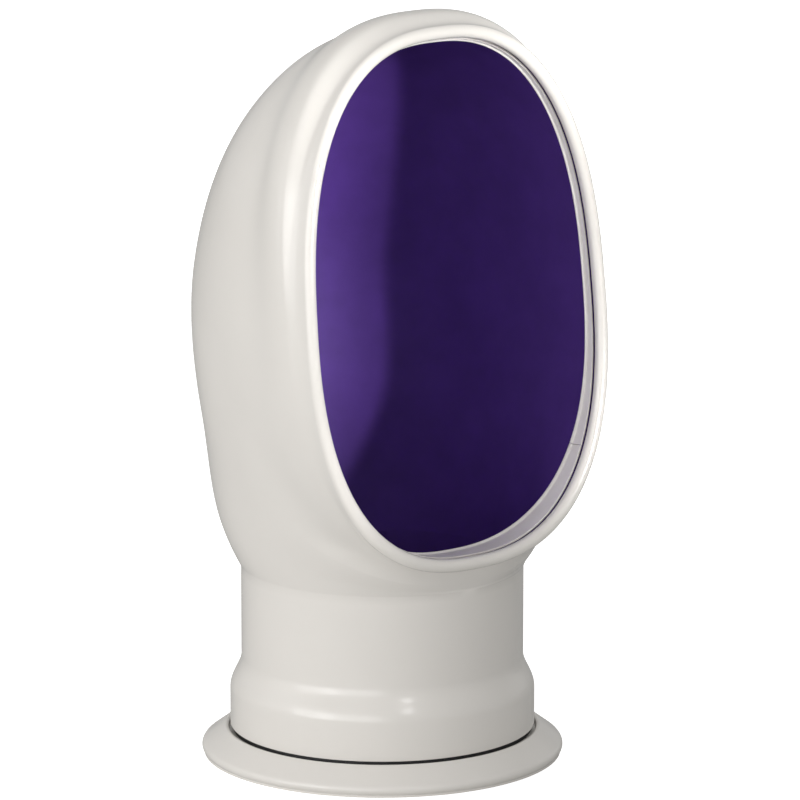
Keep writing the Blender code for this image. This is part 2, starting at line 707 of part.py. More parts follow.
def make_hexagon_nut(name, foot, top, material):
    """Nut with six flat sides, their upper corners broken, and a round bore."""
    angles = np.linspace(0.0, 2.0 * math.pi, 24, endpoint=False)
    sixth = math.pi / 3
    flats = STUD_NUT_R * math.cos(sixth / 2) / np.cos(angles % sixth - sixth / 2)
    bore_r = np.full(len(angles), STUD_R + GAP)
    rings = []
    for radii, height in ((bore_r, foot), (flats, foot), (flats, top - 0.5), (flats * 0.93, top), (bore_r, top)):
        heights = np.full(len(angles), height)
        rings.append(np.stack([radii * np.cos(angles), radii * np.sin(angles), heights], axis=1))
    builder = bmesh.new()
    loft(builder, rings, closed=True)
    return add_object(name, builder, material)


def make_valve(plastic, rubber, parent):
    """Closing disc with a raised middle and a boss, its seal, and the keeper nut on the boss."""
    bore_r = STUD_R + THREAD_FIT
    nut_room_r = STUD_NUT_R + 2.0
    ceiling = STUD_NUT_FOOT + STUD_NUT_HEIGHT + 0.7
    shelf_r = DISC_R - DISC_SEAL_WIDTH - 0.6
    disc = [
        (bore_r, ceiling),
        (nut_room_r, ceiling),
        (shelf_r - 2.5, DISC_FOOT + DISC_EDGE + DISC_RISE * 0.25 - DISC_WALL),
        (shelf_r, DISC_FOOT),
        (DISC_R, DISC_FOOT),
        (DISC_R, DISC_FOOT + DISC_EDGE - 1.0),
        (DISC_R - 1.0, DISC_FOOT + DISC_EDGE),
        (DISC_BOSS_R + 5.0, DISC_CROWN),
        (DISC_BOSS_R, DISC_CROWN),
        (DISC_BOSS_R, DISC_BOSS_TOP),
        (bore_r, DISC_BOSS_TOP),
    ]
    turned("closing_disc", disc, plastic, parent)
    seal = flat_ring(DISC_R - DISC_SEAL_WIDTH, DISC_R - 0.4, DISC_SEAL_FOOT, DISC_FOOT - GAP)
    turned("disc_seal", seal, rubber, parent)
    skirt_r = DISC_BOSS_R + GAP
    lip_foot = KEEPER_TOP - KEEPER_LIP
    keeper = [
        (skirt_r, DISC_CROWN + GAP),
        (skirt_r + KEEPER_WALL, DISC_CROWN + GAP),
        (skirt_r + KEEPER_WALL, KEEPER_TOP - 0.6),
        (skirt_r + KEEPER_WALL - 0.6, KEEPER_TOP),
        (KNOB_NECK_R + GAP, KEEPER_TOP),
        (KNOB_NECK_R + GAP, lip_foot),
        (skirt_r, lip_foot),
    ]
    turned("keeper_nut", keeper, plastic, parent, segments=36)


def make_knob(material, parent):
    """Lobed hand knob, threaded on the stud and trapped at its flange by the keeper nut."""
    segments = KNOB_LOBES * 6
    angles = np.linspace(0.0, 2.0 * math.pi, segments, endpoint=False)
    bore_r = STUD_R + THREAD_FIT
    grip_middle = KNOB_GRIP_FOOT + KNOB_HEIGHT * 0.5
    outline = [
        (bore_r, KNOB_FOOT, 0.0),
        (KNOB_FLANGE_R, KNOB_FOOT, 0.0),
        (KNOB_FLANGE_R, KNOB_FOOT + KNOB_FLANGE_THICKNESS, 0.0),
        (KNOB_NECK_R, KNOB_FOOT + KNOB_FLANGE_THICKNESS, 0.0),
        (KNOB_NECK_R, KNOB_GRIP_FOOT, 0.0),
        (KNOB_R * 0.8, KNOB_GRIP_FOOT + 1.0, 0.8),
        (KNOB_R * 0.97, KNOB_GRIP_FOOT + KNOB_HEIGHT * 0.25, 1.0),
        (KNOB_R, grip_middle, 1.0),
        (KNOB_R * 0.96, KNOB_GRIP_FOOT + KNOB_HEIGHT * 0.75, 1.0),
        (KNOB_R * 0.8, KNOB_TOP - 1.2, 0.8),
        (KNOB_R * 0.5, KNOB_TOP, 0.0),
        (bore_r, KNOB_TOP, 0.0),
    ]
    rings = []
    for radius, height, lobed in outline:
        radii = radius * (1.0 + lobed * KNOB_LOBE_DEPTH * (np.cos(KNOB_LOBES * angles) - 1.0))
        rings.append(np.stack([radii * np.cos(angles), radii * np.sin(angles), np.full(segments, height)], axis=1))
    builder = bmesh.new()
    loft(builder, rings, closed=True)
    return add_object("hand_knob", builder, material, parent)


def main():
    """Build the whole vent."""
    clear_scene()
    white = finish("white gelcoat", (0.80, 0.79, 0.76), 0.22)
    violet = finish("violet lining paint", (0.045, 0.012, 0.19), 0.35)
    trim = finish("white trim plastic", (0.70, 0.69, 0.67), 0.35)
    rubber = finish("black rubber", (0.012, 0.012, 0.013), 0.7)
    nylon = finish("natural nylon", (0.72, 0.70, 0.62), 0.45)
    grey = finish("grey moulded plastic", (0.35, 0.35, 0.36), 0.45)
    black = finish("black moulded plastic", (0.02, 0.02, 0.022), 0.4)
    steel = finish("stainless steel", (0.62, 0.61, 0.60), 0.28, 1.0)

    cowl = empty_on_axis("cowl_axis")
    valve = empty_on_axis("valve_axis")
    knob = empty_on_axis("knob_axis", valve)

    make_cowl_shell(white, cowl)
    make_inner_liner(violet, cowl)
    make_rim_strip(trim, cowl)
    make_bearing_ring(nylon, cowl)
    make_deck_ring(white)
    make_bearing_stack(white, rubber, nylon, steel)
    make_screen(grey, steel)
    make_bridge(grey, steel)
    make_stud(steel)
    make_valve(white, rubber, valve)
    make_knob(black, knob)


main()
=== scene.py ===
"""Looks of a cowl vent: white moulding, violet lining, trim strip, deck ring and the valve in the neck.

Sizes are in millimetres and become metres when a mesh is made. Z is up, the neck's axis is the Z axis,
the deck is at Z = 0 and the mouth faces -Y.
"""
import logging
import math
from collections.abc import Sequence
from dataclasses import dataclass
from enum import Enum

import bmesh
import bpy
import numpy as np
from mathutils import Matrix, Vector


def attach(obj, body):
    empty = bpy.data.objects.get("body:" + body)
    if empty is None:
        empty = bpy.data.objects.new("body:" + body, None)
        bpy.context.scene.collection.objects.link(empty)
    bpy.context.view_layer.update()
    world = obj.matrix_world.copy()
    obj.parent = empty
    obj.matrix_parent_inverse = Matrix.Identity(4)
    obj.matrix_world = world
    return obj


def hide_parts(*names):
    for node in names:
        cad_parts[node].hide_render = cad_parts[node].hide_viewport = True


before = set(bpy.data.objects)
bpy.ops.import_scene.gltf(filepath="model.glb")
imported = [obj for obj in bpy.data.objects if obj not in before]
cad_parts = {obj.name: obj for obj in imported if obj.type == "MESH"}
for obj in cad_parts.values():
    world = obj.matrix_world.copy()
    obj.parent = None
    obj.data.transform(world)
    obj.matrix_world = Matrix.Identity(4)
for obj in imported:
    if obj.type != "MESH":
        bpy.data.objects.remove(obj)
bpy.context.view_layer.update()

LOG = logging.getLogger("cowl_vent")
MM = 0.001
MM_PER_M = 1000
FULL_TURN = 2.0 * math.pi
SHARP_DEGREES = 34.0
MERGE_DISTANCE = 1e-7
EDGE_SHARE = 0.45
HOLE_SEGMENTS = 32
FINE_SEGMENTS = 192
FACET = math.pi / 36
Array = np.ndarray
Place = tuple[float, float]
Outline = Sequence[Place]


class Body(Enum):
    """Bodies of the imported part."""

    BASE = "deck_base"
    COWL = "cowl"
    VALVE = "valve"
    KNOB = "knob"


class Grain(Enum):
    """How the fine relief of a surface runs."""

    CLOUDY = "cloudy"
    LATHE_LINES = "lathe lines"


# Shapes as arrays of points


def ease(share: Array | float) -> Array:
    """Smooth step from 0 to 1: three times the square less twice the cube."""
    share = np.clip(share, 0.0, 1.0)
    return share * share * (3.0 - 2.0 * share)


def signed_power(value: Array, power: Array | float) -> Array:
    """Raise the size of a value to a power and keep its sign."""
    return np.sign(value) * np.abs(value) ** power


def turn_row(count: int) -> Array:
    """Angles of a full turn in equal steps, as one row."""
    return np.linspace(0.0, FULL_TURN, count, endpoint=False)[None, :]


def circled(radius: Array, turn: Array, height: Array) -> Array:
    """Points round the Z axis: the radius times the turn's cosine and sine, and the height."""
    return np.stack(np.broadcast_arrays(radius * np.cos(turn), radius * np.sin(turn), height), axis=-1)


def even_angles(count: int, crowding: float = 0.13) -> Array:
    """Angles round an oval, set closer where a squarish oval is flattest.

    Args:
        count: How many angles make the full turn.
        crowding: How strongly they gather at the four quarter points.

    Returns:
        The turn less a sine of four times itself, so that a step is shortest at 0, 90, 180 and 270 degrees.
    """
    turn = turn_row(count)[0]
    return turn - crowding * np.sin(4.0 * turn)


def corner_curves(corner: Array, reach: float, share: float, steps: int) -> Array:
    """Turn each corner of closed outlines into a quadratic curve.

    Args:
        corner: Corners along the last axis but one, two numbers each.
        reach: How far from a corner its curve starts and ends.
        share: The most of an edge that one curve takes.
        steps: Points of each curve, less one.

    Returns:
        The curves on one more axis: (1 - t) squared times the start, twice t (1 - t) times the corner and t
        squared times the end.
    """
    back, ahead = np.roll(corner, 1, axis=-2) - corner, np.roll(corner, -1, axis=-2) - corner
    start = corner + back * np.minimum(reach / np.linalg.norm(back, axis=-1, keepdims=True), share)
    end = corner + ahead * np.minimum(reach / np.linalg.norm(ahead, axis=-1, keepdims=True), share)
    t = np.linspace(0.0, 1.0, steps + 1)[:, None]
    start, middle, end = start[..., None, :], corner[..., None, :], end[..., None, :]
    return (1 - t) ** 2 * start + 2 * t * (1 - t) * middle + t * t * end


def rounded(outline: Outline, radius: float, closed: bool = True, steps: int = 5) -> Array:
    """Round the corners of an outline. The ends of an open outline stay sharp.

    Args:
        outline: Corners as (radius, height) pairs.
        radius: How far from each corner the curve starts.
        closed: Whether the last corner joins the first.
        steps: Points of each curve, less one.

    Returns:
        The points of the rounded outline, two numbers each.
    """
    corner = np.asarray(outline, float)
    curve = corner_curves(corner, radius, EDGE_SHARE, steps)
    if not closed:
        return np.concatenate([corner[:1], curve[1:-1].reshape(-1, 2), corner[-1:]])
    return curve.reshape(-1, 2)


def spun(outline: Array, segments: int, centre: Place = (0.0, 0.0)) -> Array:
    """Grid of a turned surface: each outline point carried round a vertical line through the centre."""
    return circled(outline[:, :1], turn_row(segments), outline[:, 1:]) + np.array([*centre, 0.0])


def around(count: int, radius: float, first: float) -> list[Place]:
    """Centres evenly spaced on a circle about the neck's axis, from a first angle."""
    angles = first + FULL_TURN * np.arange(count) / count
    return [(float(x), float(y)) for x, y in zip(radius * np.cos(angles), radius * np.sin(angles))]


def grid_faces(rows: int, columns: int, wrap_rows: bool, wrap_columns: bool) -> Array:
    """Number the corners of a grid's quads.

    Args:
        rows: Rows of points.
        columns: Points in a row.
        wrap_rows: Whether the last row joins the first.
        wrap_columns: Whether a row's last point joins its first.

    Returns:
        One row of four corner numbers for each quad.
    """
    row = np.arange(rows if wrap_rows else rows - 1)[:, None]
    column = np.arange(columns if wrap_columns else columns - 1)[None, :]
    next_row, next_column = (row + 1) % rows, (column + 1) % columns
    corners = (
        row * columns + column,
        row * columns + next_column,
        next_row * columns + next_column,
        next_row * columns + column,
    )
    return np.stack(np.broadcast_arrays(*corners), axis=-1).reshape(-1, 4)


# Pieces from arrays of points


def smooth(mesh: bpy.types.Mesh, sharp_degrees: float) -> None:
    """Shade a mesh smooth, apart from edges that turn more than an angle."""
    mesh.shade_smooth()
    mesh.set_sharp_from_angle(angle=math.radians(sharp_degrees))


def new_piece(
    name: str, points: Array, faces: list[Sequence[int]], sharp_degrees: float
) -> bpy.types.Object:
    """Make an object whose faces point outwards.

    Args:
        name: The piece's name.
        points: Points in millimetres, three numbers each.
        faces: Corner numbers of each face.
        sharp_degrees: Edges that turn more than this stay sharp.

    Returns:
        The new object, at the origin.
    """
    mesh = bpy.data.meshes.new(name)
    mesh.from_pydata((points.reshape(-1, 3) * MM).tolist(), [], faces)
    builder = bmesh.new()
    builder.from_mesh(mesh)
    bmesh.ops.remove_doubles(builder, verts=builder.verts, dist=MERGE_DISTANCE)
    bmesh.ops.recalc_face_normals(builder, faces=builder.faces)
    builder.to_mesh(mesh)
    builder.free()
    smooth(mesh, sharp_degrees)
    piece = bpy.data.objects.new(name, mesh)
    bpy.context.scene.collection.objects.link(piece)
    return piece


def surface(name: str, points: Array, ring: bool, sharp_degrees: float = SHARP_DEGREES) -> bpy.types.Object:
    """Skin a grid of points whose rows are closed rings.

    Args:
        name: The piece's name.
        points: Rows by columns by three numbers, in millimetres.
        ring: Whether the last row joins the first. If it doesn't, both end rows are capped.
        sharp_degrees: Edges that turn more than this stay sharp.

    Returns:
        The new object.
    """
    rows, columns = points.shape[:2]
    faces = grid_faces(rows, columns, ring, True).tolist()
    if not ring:
        faces += [list(range(columns)), list(range((rows - 1) * columns, rows * columns))]
    return new_piece(name, points, faces, sharp_degrees)


def turned(name: str, outline: Outline, rounding: float, segments: int = 144) -> bpy.types.Object:
    """Make a turned ring, or a turned solid where the outline starts and ends on the axis.

    Args:
        name: The piece's name.
        outline: Corners as (radius, height) pairs.
        rounding: How far from each corner its curve starts.
        segments: Steps of the full turn.

    Returns:
        The new object.
    """
    if outline[0][0] == 0.0:
        return surface(name, spun(rounded(outline, rounding, closed=False)[1:-1], segments), ring=False)
    return surface(name, spun(rounded(outline, rounding), segments), ring=True)


def combine(piece: bpy.types.Object, other: bpy.types.Object, operation: str) -> None:
    """Cut another piece from a piece, or unite them, keep the result and remove the other.

    Args:
        piece: Its mesh becomes the result.
        other: What is cut away or added.
        operation: DIFFERENCE or UNION.
    """
    modifier = piece.modifiers.new("combine", "BOOLEAN")
    modifier.operation = operation
    modifier.solver = "EXACT"
    modifier.object = other
    graph = bpy.context.evaluated_depsgraph_get()
    mesh = bpy.data.meshes.new_from_object(piece.evaluated_get(graph))
    piece.modifiers.clear()
    piece.data = mesh
    bpy.data.objects.remove(other)


def cut_holes(piece: bpy.types.Object, outline: Outline, centres: Sequence[Place]) -> None:
    """Cut the same turned hole at each centre.

    Args:
        piece: What is cut.
        outline: The hole's corners as (radius, height) pairs, from the axis back to the axis.
        centres: Places of the holes.
    """
    for centre in centres:
        cutter = surface("cutter", spun(np.asarray(outline, float)[1:-1], HOLE_SEGMENTS, centre), ring=False)
        combine(piece, cutter, "DIFFERENCE")
    smooth(piece.data, SHARP_DEGREES)


def join(piece: bpy.types.Object, other: bpy.types.Object, sharp_degrees: float) -> None:
    """Put another piece's mesh into a piece as it is, and remove the other.

    Args:
        piece: What receives the mesh.
        other: What gives it.
        sharp_degrees: Edges that turn more than this stay sharp.
    """
    builder = bmesh.new()
    builder.from_mesh(piece.data)
    builder.from_mesh(other.data)
    builder.to_mesh(piece.data)
    builder.free()
    smooth(piece.data, sharp_degrees)
    bpy.data.objects.remove(other)


@dataclass(frozen=True)
class PlainRing:
    """A ring of rectangular section with rounded edges."""

    inner: float
    outer: float
    foot: float
    top: float
    rounding: float

    def make(self, name: str, segments: int = 144) -> bpy.types.Object:
        """Turn the ring."""
        low = [(self.inner, self.foot), (self.outer, self.foot)]
        return turned(name, [*low, (self.outer, self.top), (self.inner, self.top)], self.rounding, segments)


@dataclass(frozen=True)
class Countersink:
    """A hole with a conical sink for a screw's head, as a cutter that stands proud at both ends."""

    hole_r: float
    head_r: float
    foot: float
    cone_foot: float
    cone_top: float
    top: float

    def outline(self) -> Outline:
        """Corners of the cutter."""
        return [(0.0, self.foot), (self.hole_r, self.foot), (self.hole_r, self.cone_foot),
                (self.head_r, self.cone_top), (self.head_r, self.top), (0.0, self.top)]


# Finishes


def linear(hex_colour: str) -> tuple[float, float, float, float]:
    """Turn an sRGB colour into a linear one.

    Args:
        hex_colour: A hash and six hex digits.

    Returns:
        Red, green, blue and alpha. A share s becomes s / 12.92 where it is small, and else the power 2.4 of
        (s + 0.055) / 1.055.
    """
    shares = [int(hex_colour[i:i + 2], 16) / 255.0 for i in (1, 3, 5)]
    red, green, blue = (s / 12.92 if s <= 0.04045 else ((s + 0.055) / 1.055) ** 2.4 for s in shares)
    return red, green, blue, 1.0


def add_node(
    material: bpy.types.Material,
    kind: str,
    settings: dict[str, object] | None = None,
    links: dict[str, bpy.types.NodeSocket] | None = None,
) -> bpy.types.Node:
    """Add one node.

    Args:
        material: Where it goes.
        kind: The node's type.
        settings: Fixed values of its inputs.
        links: The sockets that feed its inputs.

    Returns:
        The new node.
    """
    tree = material.node_tree
    node = tree.nodes.new(kind)
    for key, value in (settings or {}).items():
        node.inputs[key].default_value = value
    for key, socket in (links or {}).items():
        tree.links.new(socket, node.inputs[key])
    return node


@dataclass(frozen=True)
class Finish:
    """One real material and how its surface was made.

    Lengths are real millimetres. A noise texture of scale s has features about 1/s of a metre across, so a
    length of l millimetres is a scale of 1000 / l.
    """

    name: str
    colour: str
    shade_colour: str
    roughness: float
    metallic: float = 0.0
    ior: float = 1.5
    coat: float = 0.0
    coat_roughness: float = 0.06
    specular: float = 0.5
    mottling_mm: float = 30.0
    mottling_span: tuple[float, float] = (0.3, 0.7)
    mottling_detail: float = 4.0
    mottling_roughness: float = 0.6
    wave_mm: float = 9.0
    wave_depth_mm: float = 0.0
    wave_detail: float = 1.0
    grain_mm: float = 0.8
    grain_depth_mm: float = 0.0
    grain_detail: float = 2.0
    gloss_change: float = 0.04
    least_roughness: float = 0.02
    grain: Grain = Grain.CLOUDY
    lathe_stretch: tuple[float, float, float] = (0.04, 0.04, 1.0)

    def material(self) -> bpy.types.Material:
        """Return the finish's material, made once and then shared."""
        found = bpy.data.materials.get(self.name)
        return found if found else self.build()

    def build(self) -> bpy.types.Material:
        """Make the node tree: mottled colour, uneven gloss, long soft waves and fine grain.

        Returns:
            The new material.
        """
        material = bpy.data.materials.new(self.name)
        material.use_nodes = True
        material.diffuse_color = linear(self.colour)
        shader = material.node_tree.nodes["Principled BSDF"]
        shader.inputs["Metallic"].default_value = self.metallic
        shader.inputs["IOR"].default_value = self.ior
        shader.inputs["Specular IOR Level"].default_value = self.specular
        shader.inputs["Coat Weight"].default_value = self.coat
        shader.inputs["Coat Roughness"].default_value = self.coat_roughness
        place = add_node(material, "ShaderNodeTexCoord").outputs["Object"]
        clouds = {"Detail": self.mottling_detail, "Roughness": self.mottling_roughness}
        mottling = self.noise(material, self.mottling_mm, place, clouds)
        ramp = add_node(material, "ShaderNodeValToRGB", links={"Fac": mottling})
        colours = (linear(self.shade_colour), linear(self.colour))
        for stop, position, colour in zip(ramp.color_ramp.elements, self.mottling_span, colours):
            stop.position = position
            stop.color = colour
        smoothest = max(self.roughness - self.gloss_change, self.least_roughness)
        limits = {"To Min": smoothest, "To Max": self.roughness + self.gloss_change}
        gloss = add_node(material, "ShaderNodeMapRange", limits, links={"Value": mottling})
        links = material.node_tree.links
        links.new(ramp.outputs["Color"], shader.inputs["Base Color"])
        links.new(gloss.outputs["Result"], shader.inputs["Roughness"])
        links.new(self.relief(material, place), shader.inputs["Normal"])
        return material

    def noise(
        self,
        material: bpy.types.Material,
        size_mm: float,
        place: bpy.types.NodeSocket,
        shape: dict[str, object],
    ) -> bpy.types.NodeSocket:
        """Add a noise whose features have a real size in millimetres, and return its strength."""
        settings = {"Scale": MM_PER_M / size_mm, **shape}
        return add_node(material, "ShaderNodeTexNoise", settings, links={"Vector": place}).outputs["Fac"]

    def relief(self, material: bpy.types.Material, place: bpy.types.NodeSocket) -> bpy.types.NodeSocket:
        """Add two bumps, the fine grain on the long wave, each as deep as its real depth.

        Args:
            material: Where they go.
            place: The piece's own coordinates.

        Returns:
            The bumped normal.
        """
        wave = self.noise(material, self.wave_mm, place, {"Detail": self.wave_detail})
        first = add_node(
            material, "ShaderNodeBump", {"Distance": self.wave_depth_mm * MM}, links={"Height": wave}
        )
        vector = place
        if self.grain is Grain.LATHE_LINES:
            stretch = add_node(
                material, "ShaderNodeMapping", {"Scale": self.lathe_stretch}, links={"Vector": place}
            )
            vector = stretch.outputs["Vector"]
        fine = self.noise(material, self.grain_mm, vector, {"Detail": self.grain_detail})
        second = add_node(
            material, "ShaderNodeBump", {"Distance": self.grain_depth_mm * MM},
            links={"Height": fine, "Normal": first.outputs["Normal"]},
        )
        return second.outputs["Normal"]


# Polyester gelcoat from a polished mould: soft gloss, with the slow waves of a hand-laid laminate under it
GELCOAT = Finish(
    "polyester gelcoat, moulded glossy", "#EAE6E0", "#E8E4DE", 0.22, coat=0.15, mottling_mm=45.0,
    wave_mm=26.0, wave_depth_mm=0.10, grain_mm=1.6, grain_depth_mm=0.004,
)
# Violet enamel brushed on the laminate inside: nearly matt, over a slightly rough ground
LINING_PAINT = Finish(
    "violet enamel, brushed on laminate", "#503581", "#4A3177", 0.58, specular=0.1, mottling_mm=18.0,
    wave_mm=7.0, wave_depth_mm=0.05, grain_mm=1.2, grain_depth_mm=0.015,
)
# Extruded vinyl trim: even colour and a soft sheen
TRIM_VINYL = Finish(
    "white vinyl trim, extruded", "#ECE8E4", "#E4DFDA", 0.38, mottling_mm=10.0,
    wave_mm=12.0, wave_depth_mm=0.02, grain_mm=0.9, grain_depth_mm=0.006,
)
# EPDM rubber, moulded: nearly black, matt, with a bloom
RUBBER = Finish(
    "EPDM rubber, moulded", "#1B1B1D", "#242426", 0.62, mottling_mm=6.0, grain_mm=0.7, grain_depth_mm=0.03,
)
# Natural polyamide, turned: milky, with lathe lines
NYLON = Finish(
    "natural polyamide, turned", "#DDD8C6", "#D5D0BE", 0.42, grain_mm=0.5, grain_depth_mm=0.02,
    grain=Grain.LATHE_LINES,
)
# Glass-filled polyamide, moulded: grey and slightly grainy
GREY_PLASTIC = Finish(
    "glass-filled polyamide, moulded", "#8C8D90", "#828386", 0.48, mottling_mm=4.0, grain_mm=0.6,
    grain_depth_mm=0.02,
)
# Black phenolic, moulded: fine grain, worn a little glossier in places
BLACK_PHENOLIC = Finish(
    "black phenolic, moulded", "#1E1E20", "#27272A", 0.34, mottling_mm=9.0, grain_mm=0.8, grain_depth_mm=0.02,
    gloss_change=0.08,
)
# Stainless steel, turned: bright, with lathe lines
STEEL = Finish(
    "stainless steel, turned", "#C9C8C6", "#BDBCBA", 0.24, metallic=1.0, mottling_mm=3.0, grain_mm=0.3,
    grain_depth_mm=0.008, grain=Grain.LATHE_LINES,
)


def fit(piece: bpy.types.Object, body: Body, slot: str, finish: Finish, *nodes: str) -> bpy.types.Object:
    """Dress a piece, let it ride on its body and hide the CAD nodes that it stands for.

    Args:
        piece: The piece.
        body: The body that carries it.
        slot: The record's material slot. Not used.
        finish: What it is made of.
        nodes: The CAD nodes that it replaces.

    Returns:
        The same piece.
    """
    piece.data.materials.clear()
    piece.data.materials.append(finish.material())
    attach(piece, body.value)
    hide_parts(*nodes)
    LOG.info("%s rides on %s", piece.name, body.value)
    return piece


# Cowl


@dataclass(frozen=True)
class HoodSurface:
    """The smooth surface of the hood, from the level neck to the leaning mouth."""

    neck_r: float = 56.0
    neck_top: float = 76.5
    half_width: float = 70.5
    half_height: float = 103.3
    overhang: float = 3.2
    foot_rise: float = 9.1
    lean: float = math.radians(6.3)
    circle_power: float = 2.0
    squareness: float = 2.48
    early_squaring: float = 0.4
    early_squaring_turn: float = 0.4
    narrowing: float = 0.033
    lip_r: float = 2.6
    gap: float = 0.3
    setback_turn: float = 0.8
    setback_span: float = 0.2
    facet_cut: float = 0.35
    facet_cut_rise: float = 0.2
    facet_cut_fall: float = 0.1
    band_rise: float = 4.5
    band_place: float = 14.0
    band_width: float = 11.0
    band_back_width: float = 15.0
    band_start_depth: float = 10.0
    band_start_height: float = 10.4
    band_fade_height: float = 200.0
    valley_depth: float = 0.5
    valley_place: float = 33.0
    guide_turns: tuple[float, ...] = (0.0, 0.12, 0.33, 0.55, 0.75, 0.90, 1.0)
    length_shares: tuple[float, ...] = (0.0, 0.137, 0.335, 0.74, 0.97, 1.035, 1.0)
    width_shares: tuple[float, ...] = (0.0, 0.21, 0.49, 0.80, 1.03, 1.04, 1.0)

    @property
    def up(self) -> Array:
        """Direction up along the mouth's plane."""
        return np.array([0.0, math.sin(self.lean), math.cos(self.lean)])

    @property
    def back(self) -> Array:
        """Direction straight back into the hood."""
        return np.array([0.0, math.cos(self.lean), -math.sin(self.lean)])

    @property
    def foot(self) -> Array:
        """Foot of the mouth, which hangs a little in front of the neck."""
        return np.array([0.0, -self.neck_r - self.overhang, self.neck_top + self.foot_rise])

    @property
    def centre(self) -> Array:
        """Middle of the mouth, on the lip's centreline plane."""
        return self.foot + (self.half_height + self.lip_r) * self.up

    def guide(self, turn: Array, shares: tuple[float, ...]) -> Array:
        """Follow a guide curve.

        Args:
            turn: Share of the hood's turn, 0 at the neck and 1 at the mouth.
            shares: The guide's values at its own turns.

        Returns:
            The cubic Hermite curve through the values, with slopes from their neighbours.
        """
        turns, values = np.array(self.guide_turns), np.array(shares)
        slopes = np.gradient(values, turns)
        row = np.clip(np.searchsorted(turns, turn) - 1, 0, len(turns) - 2)
        step = turns[row + 1] - turns[row]
        t = (turn - turns[row]) / step
        start = (1 + 2 * t) * (1 - t) ** 2 * values[row] + t * (1 - t) ** 2 * step * slopes[row]
        end = t * t * (3 - 2 * t) * values[row + 1] + t * t * (t - 1) * step * slopes[row + 1]
        return start + end

    def oval(
        self, angle: Array, wide: Array, high: Array, square: Array | float, narrow: Array | float
    ) -> tuple[Array, Array]:
        """Work out an oval that narrows towards its top.

        Args:
            angle: Angle round the oval.
            wide: Half its width.
            high: Half its height.
            square: The superellipse's power, 2 for an ellipse.
            narrow: The share by which the top is narrower than the middle.

        Returns:
            The half width and half height, times the cosine and sine to the power of 2 over the square.
        """
        across = signed_power(np.cos(angle), 2.0 / square)
        upward = signed_power(np.sin(angle), 2.0 / square)
        return wide * across * (1.0 - narrow * upward), high * upward

    def half_size(self, turn: Array, mouth_half: float, shares: tuple[float, ...]) -> Array:
        """Half a section's length or width, from the neck's radius to half the mouth over its lip."""
        return self.neck_r + (mouth_half + self.lip_r - self.neck_r) * self.guide(turn, shares)

    def section(self, turn: Array, angle: Array, grow: Array | float) -> Array:
        """Work out the plain hood.

        The section is a superellipse in a plane that swings from level to the mouth's plane about the front
        line, while its half length and half width follow the guide.

        Args:
            turn: Share of the hood's turn, as a column.
            angle: Angles round the section, as a row.
            grow: How far the section is set off outwards.

        Returns:
            A grid of points.
        """
        half_length = self.half_size(turn, self.half_height, self.length_shares)
        half_width = self.half_size(turn, self.half_width, self.width_shares)
        early, late = self.early_squaring, 1.0 - self.early_squaring
        squaring = early * np.minimum(turn / self.early_squaring_turn, 1.0) + late * turn
        square = self.circle_power + (self.squareness - self.circle_power) * squaring
        front_y = -self.neck_r + ease(turn) * (self.foot[1] + self.neck_r)
        front_z = self.neck_top + ease(turn) * (self.foot[2] - self.neck_top)
        tilt = turn * (math.pi / 2 - self.lean)
        across, along = self.oval(angle, half_width + grow, half_length + grow, square, self.narrowing * turn)
        along = along + half_length
        parts = np.broadcast_arrays(across, front_y + along * np.cos(tilt), front_z + along * np.sin(tilt))
        return np.stack(parts, axis=-1)

    def outside(self, turn: Array, angle: Array) -> Array:
        """Work out the outer skin, with a thick band behind the lip and a faint valley behind the band.

        Both are bell curves of the distance behind the mouth's plane that grow from the neck to the crown.
        The skin is set in by what the CAD's facets cut off a curve, so that it stays inside the CAD's box.

        Args:
            turn: Share of the hood's turn, as a column.
            angle: Angles round the section, as a row.

        Returns:
            A grid of points.
        """
        plain = self.section(turn, angle, 0.0)
        behind = (plain - self.centre) @ self.back
        band_width = np.where(behind > self.band_place, self.band_back_width, self.band_width)
        band = self.band_rise * np.exp(-(((behind - self.band_place) / band_width) ** 2))
        band = band * ease(behind / self.band_start_depth)
        valley = self.valley_depth * np.exp(-(((behind - self.valley_place) / self.band_width) ** 2))
        above = plain[..., 2] - self.neck_top - self.band_start_height
        cut = self.facet_cut * ease(turn / self.facet_cut_rise) * ease((1.0 - turn) / self.facet_cut_fall)
        return self.section(turn, angle, (band - valley) * ease(above / self.band_fade_height) - cut)

    def inside(self, turn: Array, angle: Array, inset: float) -> Array:
        """Work out a skin inside the plain one, which stops behind the lip's roll.

        Args:
            turn: Share of the hood's turn, as a column.
            angle: Angles round the section, as a row.
            inset: How far the skin is set in.

        Returns:
            A grid of points.
        """
        setback = (self.lip_r + self.gap) * ease((turn - self.setback_turn) / self.setback_span)
        return self.section(turn, angle, -inset) + setback[..., None] * self.back

    def mouth(self, angle: Array, grow: Array, depth: Array) -> Array:
        """Work out points parallel to the mouth.

        Args:
            angle: Angles round the mouth.
            grow: How far they stand outside the lip's centreline.
            depth: How far they are set back.

        Returns:
            The mouth's centre, plus the oval across and up its plane, plus the depth straight back.
        """
        across, upward = self.oval(
            angle, self.half_width + grow, self.half_height + grow, self.squareness, self.narrowing
        )
        across, upward, depth = np.broadcast_arrays(across, upward, depth)
        flat = np.stack([across, np.zeros_like(across), np.zeros_like(across)], axis=-1)
        return self.centre + flat + upward[..., None] * self.up + depth[..., None] * self.back


